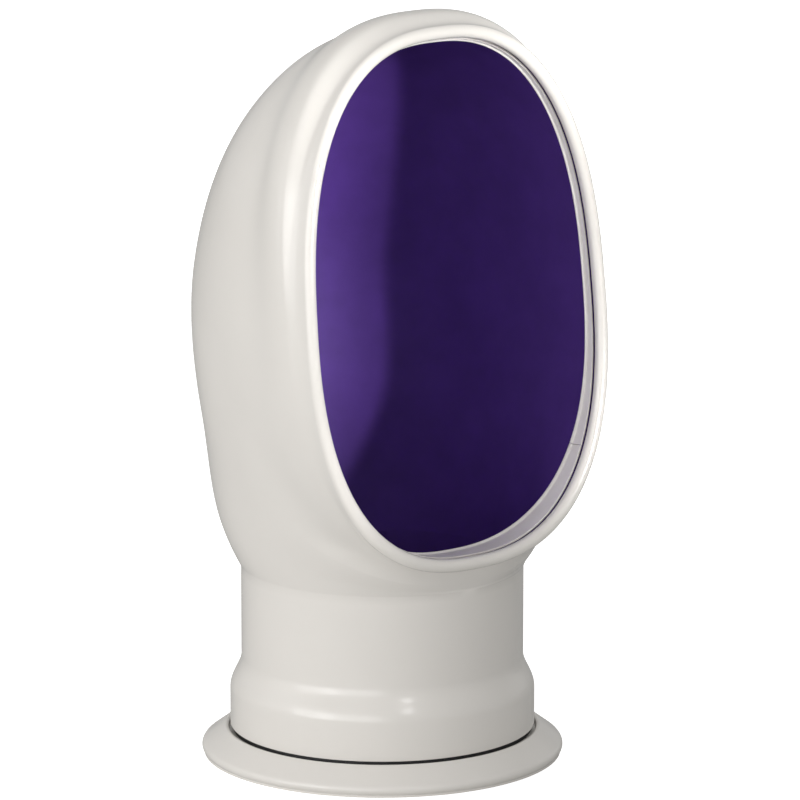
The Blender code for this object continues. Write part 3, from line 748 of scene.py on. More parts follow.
@dataclass
class Cowl:
    """The moulded cowl with its lining, its trim strip and its bearing ring."""

    hood: HoodSurface = HoodSurface()
    bearing: PlainRing = PlainRing(53.5, 56.0, 11.8, 23.0, 0.5)
    columns: int = 256
    wall: float = 3.0
    collar_r: float = 60.5
    collar_foot: float = 11.5
    collar_height: float = 15.0
    foot_rounding: float = 0.4
    shoulder_height: float = 13.5
    shoulder_rows: int = 16
    neck_rows: int = 12
    counterbore_r: float = 56.3
    cone_foot: float = 27.8
    cone_height: float = 4.0
    hood_half_rows: int = 72
    close_rows_from: float = 0.72
    roll_degrees: float = 245.0
    roll_rows: int = 22
    inner_rows: int = 70
    shell_sharp_degrees: float = 48.0
    lining_foot: float = 34.0
    lining_thickness: float = 1.0
    lining_rows: int = 96
    skin_gap: float = 0.35
    strip_thickness: float = 1.0
    strip_depth: float = 2.1
    strip_extra_depth: float = 10.4
    strip_deepening: float = 4.9
    strip_bead: float = 0.8
    strip_slope_beads: float = 1.5
    strip_joint: float = math.radians(-36.0)
    strip_joint_clearance: float = 1e-3
    strip_face_front: float = 1.8
    strip_seat_front: float = 2.3
    strip_rounding: float = 0.35
    strip_rounding_share: float = 0.4

    def levels(self, outline: Outline | Array, angle: Array) -> Array:
        """Level circles about the neck's axis for each point of an outline."""
        outline = np.asarray(outline, float)
        return circled(outline[:, :1], angle, outline[:, 1:])

    def collar(self) -> Array:
        """Draw the outline of the foot, the collar, the eased shoulder and the neck.

        Returns:
            Points as (radius, height) pairs, from the foot up.
        """
        shoulder_foot = self.collar_foot + self.collar_height
        share = np.linspace(0.0, 1.0, self.shoulder_rows)
        shoulder_r = self.collar_r + (self.hood.neck_r - self.collar_r) * ease(share)
        shoulder = np.stack([shoulder_r, shoulder_foot + self.shoulder_height * share], axis=1)
        foot_edge = [(self.counterbore_r, self.collar_foot), (self.collar_r, self.collar_foot)]
        foot = rounded([*foot_edge, (self.collar_r, shoulder_foot)], self.foot_rounding, closed=False)[1:-1]
        neck_z = np.linspace(shoulder_foot + self.shoulder_height, self.hood.neck_top, self.neck_rows)[1:-1]
        neck = np.stack([np.full_like(neck_z, self.hood.neck_r), neck_z], axis=1)
        return np.concatenate([foot, shoulder, neck])

    def shell(self) -> bpy.types.Object:
        """Make one closed shell: collar, neck, hood, rolled lip, inner skin and counterbore.

        Returns:
            The new piece. Its rows stand closer in the last part of the hood's turn, where the band is.
        """
        angle = even_angles(self.columns)[None, :]
        far_rows = np.linspace(0.0, self.close_rows_from, self.hood_half_rows, endpoint=False)
        close_rows = np.linspace(self.close_rows_from, 1.0, self.hood_half_rows)
        roll = np.radians(np.linspace(0.0, self.roll_degrees, self.roll_rows))[1:, None]
        cone_top = self.cone_foot + self.cone_height
        bore = [
            (self.hood.neck_r - self.wall, cone_top), (self.counterbore_r, self.cone_foot),
            (self.counterbore_r, self.collar_foot),
        ]
        rows = [
            self.levels(self.collar(), angle),
            self.hood.outside(np.concatenate([far_rows, close_rows])[:, None], angle),
            self.hood.mouth(angle, self.hood.lip_r * np.cos(roll), -self.hood.lip_r * np.sin(roll)),
            self.hood.inside(np.linspace(1.0, 0.0, self.inner_rows)[:, None], angle, self.wall),
            self.levels(bore, angle),
        ]
        return surface("cowl_shell_moulded", np.concatenate(rows), True, self.shell_sharp_degrees)

    def lining(self) -> bpy.types.Object:
        """Make a thin closed skin inside the hood and the neck.

        Returns:
            The new piece.
        """
        angle = even_angles(self.columns)[None, :]
        turn = np.linspace(0.0, 1.0, self.lining_rows)[:, None]
        outer = self.wall + self.skin_gap
        inner = outer + self.lining_thickness
        rows = [
            self.levels([(self.hood.neck_r - outer, self.lining_foot)], angle),
            self.hood.inside(turn, angle, outer),
            self.hood.inside(turn[::-1], angle, inner),
            self.levels([(self.hood.neck_r - inner, self.lining_foot)], angle),
        ]
        return surface("inner_lining_painted", np.concatenate(rows), ring=True)

    def strip_angles(self) -> Array:
        """List the angles along the strip.

        Returns:
            Angles round the mouth, from one side of the butt joint to the other.
        """
        half_joint = self.hood.gap / (self.hood.half_width + self.hood.half_height)
        first, last = self.strip_joint + half_joint, self.strip_joint + FULL_TURN - half_joint
        turns = np.concatenate([even_angles(self.columns) - FULL_TURN, even_angles(self.columns)])
        clear = self.strip_joint_clearance
        return np.concatenate([[first], turns[(turns > first + clear) & (turns < last - clear)], [last]])

    def strip(self) -> bpy.types.Object:
        """Make the trim strip round the mouth.

        Its section has six rounded corners: a seat against the lining, a bead at the back edge and a slanted
        front edge. Its depth grows by a power of half of one less the sine of the angle, so it is deepest at
        the bottom.

        Returns:
            The new piece.
        """
        angle = self.strip_angles()
        lowness = ((1.0 - np.sin(angle)) / 2.0) ** self.strip_deepening
        back = self.hood.lip_r + self.hood.gap + self.strip_depth + self.strip_extra_depth * lowness
        seat = self.hood.lip_r - self.wall - 2 * self.skin_gap - self.lining_thickness
        face = seat - self.strip_thickness
        bead = self.strip_bead
        corners = [
            (seat, self.strip_seat_front), (seat, back), (face - bead, back), (face - bead, back - bead),
            (face, back - self.strip_slope_beads * bead), (face, self.strip_face_front),
        ]
        pairs = [np.stack(np.broadcast_arrays(*pair, lowness)[:2], axis=-1) for pair in corners]
        corner = np.stack(pairs, axis=1)
        curve = corner_curves(corner, self.strip_rounding, self.strip_rounding_share, steps=4)
        section = curve.reshape(len(angle), -1, 2)
        points = self.hood.mouth(angle[:, None], section[..., 0], section[..., 1])
        return surface("rim_strip_trim", points, ring=False)

    def build(self) -> None:
        """Make and dress the cowl's pieces."""
        fit(self.shell(), Body.COWL, "white_gelcoat", GELCOAT, "cowl_shell")
        fit(self.lining(), Body.COWL, "violet_lining", LINING_PAINT, "inner_liner")
        fit(self.strip(), Body.COWL, "white_trim", TRIM_VINYL, "rim_strip")
        fit(self.bearing.make("collar_ring_turned"), Body.COWL, "natural_nylon", NYLON, "collar_ring")


# Deck ring and bearing


@dataclass(frozen=True)
class SlottedScrew:
    """Countersunk screw with a slot across its head and a threaded shank."""

    top: float
    length: float
    head_r: float = 2.1
    head_middle_r: float = 0.15
    head_rows: int = 14
    head_recess: float = 0.1
    slot_half_width: float = 0.34
    slot_wall: float = 0.12
    slot_depth: float = 0.7
    throat_r: float = 1.25
    rim_depth: float = 0.85
    throat_depth: float = 1.3
    shank_depth: float = 1.4
    tip_clearance: float = 0.2
    thread_r: float = 1.1
    thread_wave: float = 0.13
    thread_pitch: float = 0.8
    tip_start: float = 0.9
    tip_span: float = 0.1
    tip_taper: float = 0.45
    shank_rows: int = 90
    segments: int = 48

    def make(self, name: str, centre: Place) -> bpy.types.Object:
        """Make the screw.

        The head's face is a grid of rings whose height drops by the slot's depth where the distance from the
        slot's middle line is under half its width. The shank's radius is a cosine of the turns of thread at
        its height, less the turn.

        Args:
            name: The piece's name.
            centre: Where its axis stands.

        Returns:
            The new piece.
        """
        turn = turn_row(self.segments)
        head = self.top - self.head_recess
        face_r = np.linspace(self.head_middle_r, self.head_r, self.head_rows)[:, None]
        in_slot = ease((self.slot_half_width - np.abs(face_r * np.sin(turn))) / self.slot_wall)
        face = circled(face_r, turn, head - self.slot_depth * in_slot)
        cone_z = np.array([[head - self.rim_depth], [head - self.throat_depth]])
        cone = circled(np.array([[self.head_r], [self.throat_r]]), turn, cone_z)
        down = np.linspace(0.0, 1.0, self.shank_rows)[:, None]
        shank_length = self.top - self.length + self.tip_clearance - head + self.shank_depth
        z = head - self.shank_depth + shank_length * down
        thread = self.thread_r + self.thread_wave * np.cos(FULL_TURN * z / self.thread_pitch - turn)
        taper = 1.0 - self.tip_taper * ease((down - self.tip_start) / self.tip_span)
        points = np.concatenate([face, cone, circled(thread * taper, turn, z)])
        return surface(name, points + np.array([*centre, 0.0]), ring=False)


@dataclass
class DeckBase:
    """Deck ring with its seals, retaining ring and screws."""

    duct_r: float = 47.5
    ledge_r: float = 38.0
    ledge_height: float = 4.0
    spigot_r: float = 53.0
    spigot_top: float = 25.0
    seat_r: float = 61.1
    seat_height: float = 9.0
    ring_r: float = 71.8
    ring_edge: float = 2.8
    edge_round: float = 2.4
    edge_degrees: tuple[float, float] = (-52.0, 55.0)
    edge_rows: int = 15
    slope_run: float = 6.0
    slope_height: float = 8.2
    crest: float = 11.0
    crest_width: float = 1.4
    crest_drops: tuple[float, float] = (0.1, 0.4)
    foot_setbacks: tuple[float, float] = (1.0, 0.9)
    corner_rounding: float = 0.5
    gasket_r: float = 64.5
    gasket_width: float = 4.5
    groove_depth: float = 2.2
    fixings: int = 6
    fixing: Countersink = Countersink(2.1, 3.9, -1.0, 2.2, 4.0, 5.0)
    gasket: PlainRing = PlainRing(60.3, 64.2, 0.0, 1.9, 0.4)
    seal: PlainRing = PlainRing(54.0, 59.5, 9.3, 11.2, 0.5)
    slip: PlainRing = PlainRing(53.3, 55.9, 23.3, 25.0, 0.3)
    retainer: PlainRing = PlainRing(47.8, 55.0, 25.3, 27.3, 0.5)
    retainer_hole: Countersink = Countersink(1.55, 2.4, 24.0, 25.8, 27.0, 28.0)
    retainer_screws: int = 6
    retainer_screw: SlottedScrew = SlottedScrew(27.3, 9.0)

    def outline(self) -> Array:
        """Draw the ring's outline: round edge, straight slope, crest, seat, spigot, duct, ledge and groove.

        Returns:
            Points as (radius, height) pairs, in a closed loop.
        """
        edge_turn = np.radians(np.linspace(*self.edge_degrees, self.edge_rows))
        edge_r = self.ring_r - self.edge_round + self.edge_round * np.cos(edge_turn)
        edge = np.stack([edge_r, self.ring_edge + self.edge_round * np.sin(edge_turn)], axis=1)
        groove_r = self.gasket_r - self.gasket_width
        corners = [
            (self.ring_r - self.slope_run, self.slope_height),
            (self.seat_r + self.crest_width, self.crest - self.crest_drops[0]),
            (self.seat_r, self.crest - self.crest_drops[1]),
            (self.seat_r, self.seat_height), (self.spigot_r, self.seat_height),
            (self.spigot_r, self.spigot_top), (self.duct_r, self.spigot_top),
            (self.duct_r, self.ledge_height), (self.ledge_r, self.ledge_height), (self.ledge_r, 0.0),
            (groove_r, 0.0), (groove_r, self.groove_depth),
            (self.gasket_r, self.groove_depth), (self.gasket_r, 0.0),
            (self.ring_r - self.foot_setbacks[0], 0.0),
        ]
        body = rounded(corners, self.corner_rounding, closed=False)[1:-1]
        return np.concatenate([edge, body, [(self.ring_r - self.foot_setbacks[1], 0.0)]])

    def ring(self) -> bpy.types.Object:
        """Make the deck ring with its fixing holes.

        Returns:
            The new piece.
        """
        ring = surface("deck_ring_moulded", spun(self.outline(), FINE_SEGMENTS), ring=True)
        cut_holes(ring, self.fixing.outline(), around(self.fixings, (self.ledge_r + self.duct_r) / 2, FACET))
        return ring

    def build(self) -> None:
        """Make and dress the pieces that stay on the deck."""
        base = Body.BASE
        fit(self.ring(), base, "white_gelcoat", GELCOAT, "deck_ring")
        fit(self.gasket.make("deck_gasket_moulded"), base, "black_rubber", RUBBER, "deck_gasket")
        fit(self.seal.make("collar_seal_moulded"), base, "black_rubber", RUBBER, "collar_seal")
        fit(self.slip.make("slip_ring_turned"), base, "natural_nylon", NYLON, "slip_ring")
        retainer = self.retainer.make("retaining_ring_moulded", FINE_SEGMENTS)
        centres = around(self.retainer_screws, (self.spigot_r + self.duct_r) / 2, FACET)
        cut_holes(retainer, self.retainer_hole.outline(), centres)
        fit(retainer, base, "white_gelcoat", GELCOAT, "retaining_ring")
        for number, centre in enumerate(centres, start=1):
            screw = self.retainer_screw.make(f"retainer_screw_{number}_slotted", centre)
            fit(screw, base, "stainless_steel", STEEL, f"retainer_screw_{number}")


# Screen and bridge


@dataclass
class Screen:
    """Insect screen: a moulded frame with woven wire in a rim."""

    net_r: float = 39.6
    height: float = 5.55
    wire_r: float = 0.16
    wire_sides: int = 6
    weave_rise: float = 0.75
    wire_flattening: float = 0.9
    pitch: float = 3.0
    steps_per_pitch: int = 6
    wire_sharp_degrees: float = 50.0
    rim: PlainRing = PlainRing(38.9, 41.0, 5.3, 5.8, 0.2)
    rim_sharp_degrees: float = 40.0
    frame_inner: float = 38.4
    frame_step: float = 41.3
    frame_outer: float = 47.2
    frame_foot: float = 4.3
    frame_shelf: float = 5.0
    frame_top: float = 5.9
    frame_rounding: float = 0.25

    def wires(self) -> bpy.types.Object:
        """Weave the wires, each straight in plan, rising and falling over the wires that cross it.

        A wire's height is a cosine of its length over the pitch, turned over for every second wire, and it
        ends where it meets the rim's circle.

        Returns:
            The new piece.
        """
        count = int(2 * self.net_r / self.pitch)
        offset = (np.arange(count) - (count - 1) / 2) * self.pitch
        reach = np.sqrt(self.net_r**2 - offset**2)[:, None, None]
        share = np.linspace(-1.0, 1.0, count * self.steps_per_pitch)[None, :, None]
        side = turn_row(self.wire_sides)[None]
        along = reach * share + 0 * side
        phase = (np.arange(count) % 2)[:, None, None] * math.pi
        lift = self.wire_r * self.weave_rise * np.cos(math.pi * along / self.pitch + phase)
        across = offset[:, None, None] + self.wire_r * np.cos(side) + 0 * along
        height = self.height + lift + self.wire_r * self.wire_flattening * np.sin(side)
        over = np.stack([along, across, height], axis=-1)
        under = np.stack([across, along, 2 * self.height - height], axis=-1)
        points = np.concatenate([over, under])
        wires, length, sides = points.shape[:3]
        first = np.arange(wires) * length * sides
        faces = (grid_faces(length, sides, False, True)[None] + first[:, None, None]).reshape(-1, 4).tolist()
        start = first[:, None] + np.arange(sides)[None, :]
        faces += start.tolist() + (start + (length - 1) * sides).tolist()
        return new_piece("screen_net_woven", points, faces, self.wire_sharp_degrees)

    def build(self) -> None:
        """Make and dress the screen."""
        net = self.wires()
        join(net, self.rim.make("screen_rim"), self.rim_sharp_degrees)
        fit(net, Body.BASE, "stainless_steel", STEEL, "screen_mesh")
        profile = [
            (self.frame_inner, self.frame_foot), (self.frame_outer, self.frame_foot),
            (self.frame_outer, self.frame_top), (self.frame_step, self.frame_top),
            (self.frame_step, self.frame_shelf), (self.frame_inner, self.frame_shelf),
        ]
        frame_piece = turned("screen_frame_moulded", profile, self.frame_rounding)
        fit(frame_piece, Body.BASE, "grey_plastic", GREY_PLASTIC, "screen_frame")


@dataclass
class Bridge:
    """Bridge across the duct, with the stud, its nut and the stop."""

    foot: float = 6.2
    top: float = 9.2
    hub_top: float = 11.2
    hub_r: float = 8.5
    hub_rounding: float = 0.6
    ring_inner: float = 40.5
    ring_outer: float = 47.2
    ring_rounding: float = 0.4
    arms: int = 3
    arm_half_width: float = 3.0
    arm_recess: float = 0.3
    arm_rounding: float = 0.6
    arm_start: float = 1.0
    arm_rows: int = 8
    first_screw: float = math.pi / 6
    screw_hole: Countersink = Countersink(1.55, 2.4, 5.0, 7.7, 8.9, 10.0)
    screw: SlottedScrew = SlottedScrew(9.2, 8.0)
    stud_r: float = 4.0
    stud_top: float = 63.4
    stud_rows: int = 640
    stud_segments: int = 64
    stud_sharp_degrees: float = 60.0
    stud_chamfer: float = 0.7
    chamfer_length: float = 0.9
    bore_clearance: float = 0.3
    bore_overrun: float = 1.0
    lead: float = 4.0
    starts: int = 2
    thread_depth: float = 0.75
    thread_fullness: float = 0.7
    thread_run_in: float = 1.5
    nut_flat_r: float = 6.9
    nut_face_r: float = 6.3
    nut_foot: float = 11.5
    nut_top: float = 14.5
    nut_chamfer: float = 0.5
    nut_chamfer_middle: float = 0.35
    nut_bore_chamfer: float = 0.4
    nut_segments: int = 96
    nut_sharp_degrees: float = 25.0
    stop: PlainRing = PlainRing(4.3, 6.5, 60.9, 62.4, 0.3)

    def spider(self) -> bpy.types.Object:
        """Unite ring, three arms and hub, and cut the stud's bore and the screws' holes.

        Returns:
            The new piece.
        """
        ring = PlainRing(self.ring_inner, self.ring_outer, self.foot, self.top, self.ring_rounding)
        piece = ring.make("valve_bridge_moulded", FINE_SEGMENTS)
        hub_top = [(self.hub_r, self.hub_top), (0.0, self.hub_top)]
        hub = turned("hub", [(0.0, self.foot), (self.hub_r, self.foot), *hub_top], self.hub_rounding)
        reach = (self.ring_inner + self.ring_outer) / 2
        angles = [self.first_screw + FULL_TURN * (number + 0.5) / self.arms for number in range(self.arms)]
        for other in [*(self.arm(reach, angle) for angle in angles), hub]:
            combine(piece, other, "UNION")
        low, high = self.foot - self.bore_overrun, self.hub_top + self.bore_overrun
        bore_r = self.stud_r + self.bore_clearance
        cut_holes(piece, [(0.0, low), (bore_r, low), (bore_r, high), (0.0, high)], [(0.0, 0.0)])
        cut_holes(piece, self.screw_hole.outline(), self.screw_centres())
        return piece

    def arm(self, reach: float, angle: float) -> bpy.types.Object:
        """Make one arm: a rounded rectangle carried straight out.

        Args:
            reach: How far out it ends.
            angle: Its direction.

        Returns:
            The new piece.
        """
        half, low, high = self.arm_half_width, self.foot + self.arm_recess, self.top - self.arm_recess
        section = rounded([(-half, low), (half, low), (half, high), (-half, high)], self.arm_rounding)
        along = np.linspace(self.arm_start, reach, self.arm_rows)[:, None]
        side, height = section[None, :, 0], section[None, :, 1]
        x = along * math.cos(angle) - side * math.sin(angle)
        y = along * math.sin(angle) + side * math.cos(angle)
        return surface("arm", np.stack([x, y, height + 0 * along], axis=-1), ring=False)

    def screw_centres(self) -> list[Place]:
        """Places of the bridge's screws, in the middle of its ring."""
        return around(self.arms, (self.ring_inner + self.ring_outer) / 2, self.first_screw + FACET)

    def stud(self) -> bpy.types.Object:
        """Make the threaded stud.

        Its radius is less by a wave, half of one more the cosine of the height over the pitch less the turn
        times the starts, which fades at both ends into a chamfer.

        Returns:
            The new piece.
        """
        turn = turn_row(self.stud_segments)
        foot = self.foot + self.bore_clearance
        z = np.linspace(foot, self.stud_top, self.stud_rows)[:, None]
        pitch = self.lead / self.starts
        wave = 0.5 + 0.5 * np.cos(FULL_TURN * z / pitch - self.starts * turn)
        from_end = np.minimum(z - self.foot - self.bore_clearance, self.stud_top - z)
        depth = self.thread_depth * ease(from_end / self.thread_run_in)
        end = self.stud_chamfer * (1.0 - ease(from_end / self.chamfer_length))
        radius = self.stud_r - depth * wave**self.thread_fullness - end
        return surface("valve_stud_threaded", circled(radius, turn, z), False, self.stud_sharp_degrees)

    def nut(self) -> bpy.types.Object:
        """Make the hexagon nut.

        Its radius is half the width across flats over the cosine of the angle from the flat's middle, limited
        near both faces by a cone.

        Returns:
            The new piece.
        """
        turn = turn_row(self.nut_segments)
        sixth = math.pi / 3
        flats = self.nut_flat_r * math.cos(sixth / 2) / np.cos(turn % sixth - sixth / 2)
        bore = np.full_like(turn, self.stud_r + self.bore_clearance)
        face, cone = np.minimum(flats, self.nut_face_r), np.minimum(flats, self.nut_flat_r)
        rows = [
            (bore, self.nut_foot), (face, self.nut_foot), (cone, self.nut_foot + self.nut_chamfer_middle),
            (flats, self.nut_foot + self.nut_chamfer), (flats, self.nut_top - self.nut_chamfer),
            (face, self.nut_top), (bore + self.nut_bore_chamfer, self.nut_top),
            (bore, self.nut_top - self.nut_bore_chamfer),
        ]
        points = np.concatenate([circled(radius, turn, np.array([[height]])) for radius, height in rows])
        return surface("stud_nut_hexagon", points, True, self.nut_sharp_degrees)

    def build(self) -> None:
        """Make and dress the bridge and what stands on it."""
        base = Body.BASE
        fit(self.spider(), base, "grey_plastic", GREY_PLASTIC, "valve_bridge")
        for number, centre in enumerate(self.screw_centres(), start=1):
            screw = self.screw.make(f"bridge_screw_{number}_slotted", centre)
            fit(screw, base, "stainless_steel", STEEL, f"bridge_screw_{number}")
        fit(self.stud(), base, "stainless_steel", STEEL, "valve_stud")
        fit(self.nut(), base, "stainless_steel", STEEL, "stud_nut")
        stop = self.stop.make("stud_stop_turned", self.nut_segments)
        fit(stop, base, "stainless_steel", STEEL, "stud_stop")


# Valve and knob


@dataclass
class Valve:
    """Closing disc with its seal and keeper nut, and the hand knob."""

    bore_r: float = 4.4
    boss_r: float = 11.7
    boss_top: float = 21.5
    cone_r: float = 16.7
    cone_top: float = 18.2
    web_inner: Place = (8.9, 15.2)
    web_outer: Place = (38.2, 13.0)
    seal_land_r: float = 40.7
    disc_r: float = 46.3
    disc_foot: float = 12.0
    disc_edge_top: float = 14.0
    disc_top: float = 15.0
    disc_chamfer: float = 1.0
    disc_rounding: float = 0.8
    seal: PlainRing = PlainRing(41.3, 45.9, 9.5, 11.7, 0.6)
    keeper_bore_r: float = 12.0
    keeper_r: float = 14.2
    keeper_foot: float = 18.5
    keeper_top: float = 25.4
    keeper_chamfer: Place = (0.6, 0.5)
    keeper_lip_r: float = 9.3
    keeper_lip: float = 1.5
    keeper_rounding: float = 0.35
    keeper_segments: int = 320
    ribs: int = 40
    rib_from_r: float = 13.5
    rib_fade: float = 0.5
    rib_depth: float = 0.18
    knob_foot: float = 21.8
    knob_flange_r: float = 11.0
    knob_throat_r: float = 9.0
    knob_step: float = 1.8
    grip_foot: float = 26.4
    grip_side: Outline = ((17.6, 0.4), (21.6, 3.0), (22.0, 6.0), (21.2, 9.2))
    knob_top: float = 38.4
    knob_brow: Place = (17.6, 0.9)
    knob_crown_r: float = 11.0
    knob_dish_r: float = 8.5
    knob_dish: float = 1.2
    knob_rounding: float = 1.4
    knob_rounding_steps: int = 8
    knob_segments: int = 240
    lobes: int = 6
    lobe_depth: float = 0.07
    lobe_from_r: float = 10.0
    lobe_fade: float = 8.0
    lobe_rise: float = 2.0
    lobe_start: float = 0.5

    def knob(self) -> bpy.types.Object:
        """Make the lobed knob: each outline radius is cut back by a cosine of the lobes times the turn.

        Returns:
            The new piece.
        """
        turn = turn_row(self.knob_segments)
        foot, grip, top, dish = self.knob_foot, self.grip_foot, self.knob_top, self.knob_top - self.knob_dish
        corners = [
            (self.bore_r, foot), (self.knob_flange_r, foot), (self.knob_flange_r, foot + self.knob_step),
            (self.knob_throat_r, foot + self.knob_step), (self.knob_throat_r, grip),
            *((radius, grip + height) for radius, height in self.grip_side),
            (self.knob_brow[0], top - self.knob_brow[1]), (self.knob_crown_r, top),
            (self.knob_dish_r, dish), (self.bore_r, dish),
        ]
        outline = rounded(corners, self.knob_rounding, steps=self.knob_rounding_steps)
        radius, height = outline[:, :1], outline[:, 1:]
        above = ease((height - grip + self.lobe_start) / self.lobe_rise)
        share = ease((radius - self.lobe_from_r) / self.lobe_fade) * above
        lobed = radius * (1.0 + self.lobe_depth * share * (np.cos(self.lobes * turn) - 1.0))
        return surface("hand_knob_lobed", circled(lobed, turn, height), ring=True)

    def keeper(self) -> bpy.types.Object:
        """Make the keeper nut: its outer radius is a cosine of the grip ribs times the turn.

        Returns:
            The new piece.
        """
        turn = turn_row(self.keeper_segments)
        top, lip_foot = self.keeper_top, self.keeper_top - self.keeper_lip
        across, down = self.keeper_chamfer
        corners = [
            (self.keeper_bore_r, self.keeper_foot), (self.keeper_r, self.keeper_foot),
            (self.keeper_r, top - down), (self.keeper_r - across, top), (self.keeper_lip_r, top),
            (self.keeper_lip_r, lip_foot), (self.keeper_bore_r, lip_foot),
        ]
        outline = rounded(corners, self.keeper_rounding)
        radius, height = outline[:, :1], outline[:, 1:]
        share = ease((radius - self.rib_from_r) / self.rib_fade)
        ribbed = radius + self.rib_depth * share * (np.cos(self.ribs * turn) - 1.0)
        return surface("keeper_nut_ribbed", circled(ribbed, turn, height), ring=True)

    def disc(self) -> bpy.types.Object:
        """Make the closing disc: a boss, a sloping web, and a flat rim over the seal.

        Returns:
            The new piece.
        """
        corners = [
            (self.bore_r, self.web_inner[1]), self.web_inner, self.web_outer,
            (self.seal_land_r, self.disc_foot), (self.disc_r, self.disc_foot),
            (self.disc_r, self.disc_edge_top), (self.disc_r - self.disc_chamfer, self.disc_top),
            (self.cone_r, self.cone_top),
            (self.boss_r, self.cone_top), (self.boss_r, self.boss_top), (self.bore_r, self.boss_top),
        ]
        return turned("closing_disc_moulded", corners, self.disc_rounding, FINE_SEGMENTS)

    def build(self) -> None:
        """Make and dress the valve and the knob."""
        fit(self.disc(), Body.VALVE, "white_gelcoat", GELCOAT, "closing_disc")
        fit(self.seal.make("disc_seal_moulded"), Body.VALVE, "black_rubber", RUBBER, "disc_seal")
        fit(self.keeper(), Body.VALVE, "white_gelcoat", GELCOAT, "keeper_nut")
        fit(self.knob(), Body.KNOB, "black_plastic", BLACK_PHENOLIC, "hand_knob")


# Studio


@dataclass(frozen=True)
class Softbox:
    """One soft light, placed by its direction and distance from the point that it faces.

    Angles are degrees and lengths metres. A spread under 180 is a grid in front of the light, which keeps its
    beam narrow.
    """

    name: str
    azimuth: float
    elevation: float
    distance: float
    width: float
    height: float
    power: float
    spread: float = 180.0
    aim: tuple[float, float, float] = (0.0, 0.0, 0.15)


SOFTBOXES = (
    Softbox("left key", -62.0, 7.5, 1.7, 1.5, 0.75, 7.4),
    Softbox("left side", -90.0, 6.0, 1.7, 1.0, 0.8, 6.9),
    Softbox("left back", -120.0, 6.0, 1.7, 1.0, 1.2, 1.9),
    Softbox("top", 120.0, 60.0, 1.7, 1.2, 1.2, 0.9),
    Softbox("small front", -17.0, 28.0, 1.7, 0.2, 0.2, 1.1),
    Softbox("right rim", 95.0, 15.0, 1.7, 1.0, 1.0, 0.5),
    Softbox("into the mouth, gridded", 13.0, 7.0, 0.8, 0.13, 0.18, 0.094, 5.5, (0.0, -0.048, 0.205)),
)


def facing(azimuth: float, elevation: float) -> tuple[Vector, Vector, Matrix]:
    """Work out how a camera or a light faces a point.

    Args:
        azimuth: Angle round Z from -Y, in radians.
        elevation: Angle above the horizon, in radians.

    Returns:
        Directions back from the point and to the right, and the turn of a thing that looks at the point. Back
        is (sin a cos e, -cos a cos e, sin e), and up is back times right.
    """
    level = math.cos(elevation)
    back = Vector((math.sin(azimuth) * level, -math.cos(azimuth) * level, math.sin(elevation)))
    right = Vector((math.cos(azimuth), math.sin(azimuth), 0.0))
    return back, right, Matrix((right, back.cross(right), back)).transposed().to_4x4()


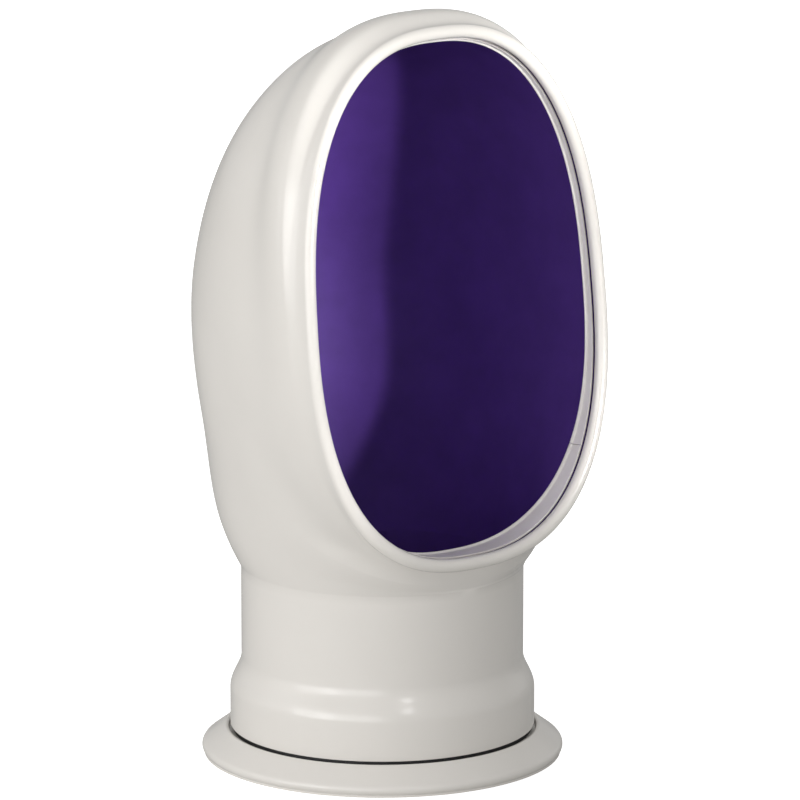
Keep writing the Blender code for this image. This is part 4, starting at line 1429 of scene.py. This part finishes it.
@dataclass
class Studio:
    """Camera at the photograph's angle, pale floor and soft lights."""

    azimuth: float = math.radians(-37.52)
    elevation: float = math.radians(12.57)
    distance: float = 2.5
    target: tuple[float, float, float] = (0.0, 0.0, 0.15)
    sideways: float = 7.02 * MM
    upwards: float = -7.42 * MM
    lens: float = 285.7
    far_clip: float = 50.0
    ambient: float = 0.48
    backdrop: float = 1.05
    floor_glow: float = 0.95
    floor_r: float = 30000.0
    floor_height: float = -0.05
    floor_sides: int = 96
    floor_colour: str = "#C8C8C7"
    floor_roughness: float = 0.9

    def camera(self) -> None:
        """Add the camera."""
        back, right, turn = facing(self.azimuth, self.elevation)
        camera = bpy.data.objects.new("camera", bpy.data.cameras.new("camera"))
        bpy.context.scene.collection.objects.link(camera)
        camera.data.lens = self.lens
        camera.data.clip_end = self.far_clip
        up = back.cross(right)
        place = Vector(self.target) + back * self.distance + right * self.sideways + up * self.upwards
        camera.matrix_world = Matrix.Translation(place) @ turn
        bpy.context.scene.camera = camera

    def light(self, box: Softbox) -> None:
        """Add one soft light.

        Args:
            box: Its place, size and power.
        """
        back, _, turn = facing(math.radians(box.azimuth), math.radians(box.elevation))
        light = bpy.data.lights.new(box.name, "AREA")
        light.shape = "RECTANGLE"
        light.size, light.size_y = box.width, box.height
        light.energy = box.power
        light.spread = math.radians(box.spread)
        thing = bpy.data.objects.new(box.name, light)
        bpy.context.scene.collection.objects.link(thing)
        thing.matrix_world = Matrix.Translation(Vector(box.aim) + back * box.distance) @ turn

    def seen_strength(self, tree: bpy.types.NodeTree, unseen: float, seen: float) -> bpy.types.NodeSocket:
        """Make a strength that differs between what the camera sees directly and what lights the object.

        Args:
            tree: The floor's or the world's node tree.
            unseen: Strength for the object's light.
            seen: Strength for the camera.

        Returns:
            The socket that gives it.
        """
        path = tree.nodes.new("ShaderNodeLightPath")
        strength = tree.nodes.new("ShaderNodeMapRange")
        strength.inputs["To Min"].default_value = unseen
        strength.inputs["To Max"].default_value = seen
        tree.links.new(path.outputs["Is Camera Ray"], strength.inputs["Value"])
        return strength.outputs["Result"]

    def floor(self) -> None:
        """Add a wide pale floor just under the deck ring, washed out by its own light for the camera."""
        edge = spun(np.array([[self.floor_r, self.floor_height]]), self.floor_sides)
        floor = new_piece("floor", edge, [list(range(self.floor_sides))], SHARP_DEGREES)
        if floor.data.polygons[0].normal.z < 0:
            floor.data.flip_normals()
        material = bpy.data.materials.new("white paper sweep")
        material.use_nodes = True
        tree = material.node_tree
        shader = tree.nodes["Principled BSDF"]
        shader.inputs["Base Color"].default_value = linear(self.floor_colour)
        shader.inputs["Roughness"].default_value = self.floor_roughness
        shader.inputs["Emission Color"].default_value = (1.0, 1.0, 1.0, 1.0)
        tree.links.new(self.seen_strength(tree, 0.0, self.floor_glow), shader.inputs["Emission Strength"])
        floor.data.materials.append(material)

    def world(self) -> None:
        """Give the world an even white."""
        world = bpy.data.worlds.new("white studio")
        bpy.context.scene.world = world
        world.use_nodes = True
        tree = world.node_tree
        background = tree.nodes["Background"]
        background.inputs["Color"].default_value = (1.0, 1.0, 1.0, 1.0)
        tree.links.new(self.seen_strength(tree, self.ambient, self.backdrop), background.inputs["Strength"])

    def build(self) -> None:
        """Add the floor, the lights and the world."""
        self.floor()
        for box in SOFTBOXES:
            self.light(box)
        self.world()


def main() -> None:
    """Build every sub-assembly in order."""
    logging.basicConfig(level=logging.INFO, format="%(message)s")
    bpy.context.scene.view_settings.view_transform = "Standard"
    studio = Studio()
    studio.camera()
    for assembly in (Cowl(), DeckBase(), Screen(), Bridge(), Valve(), studio):
        assembly.build()


if __name__ == "__main__":
    main()
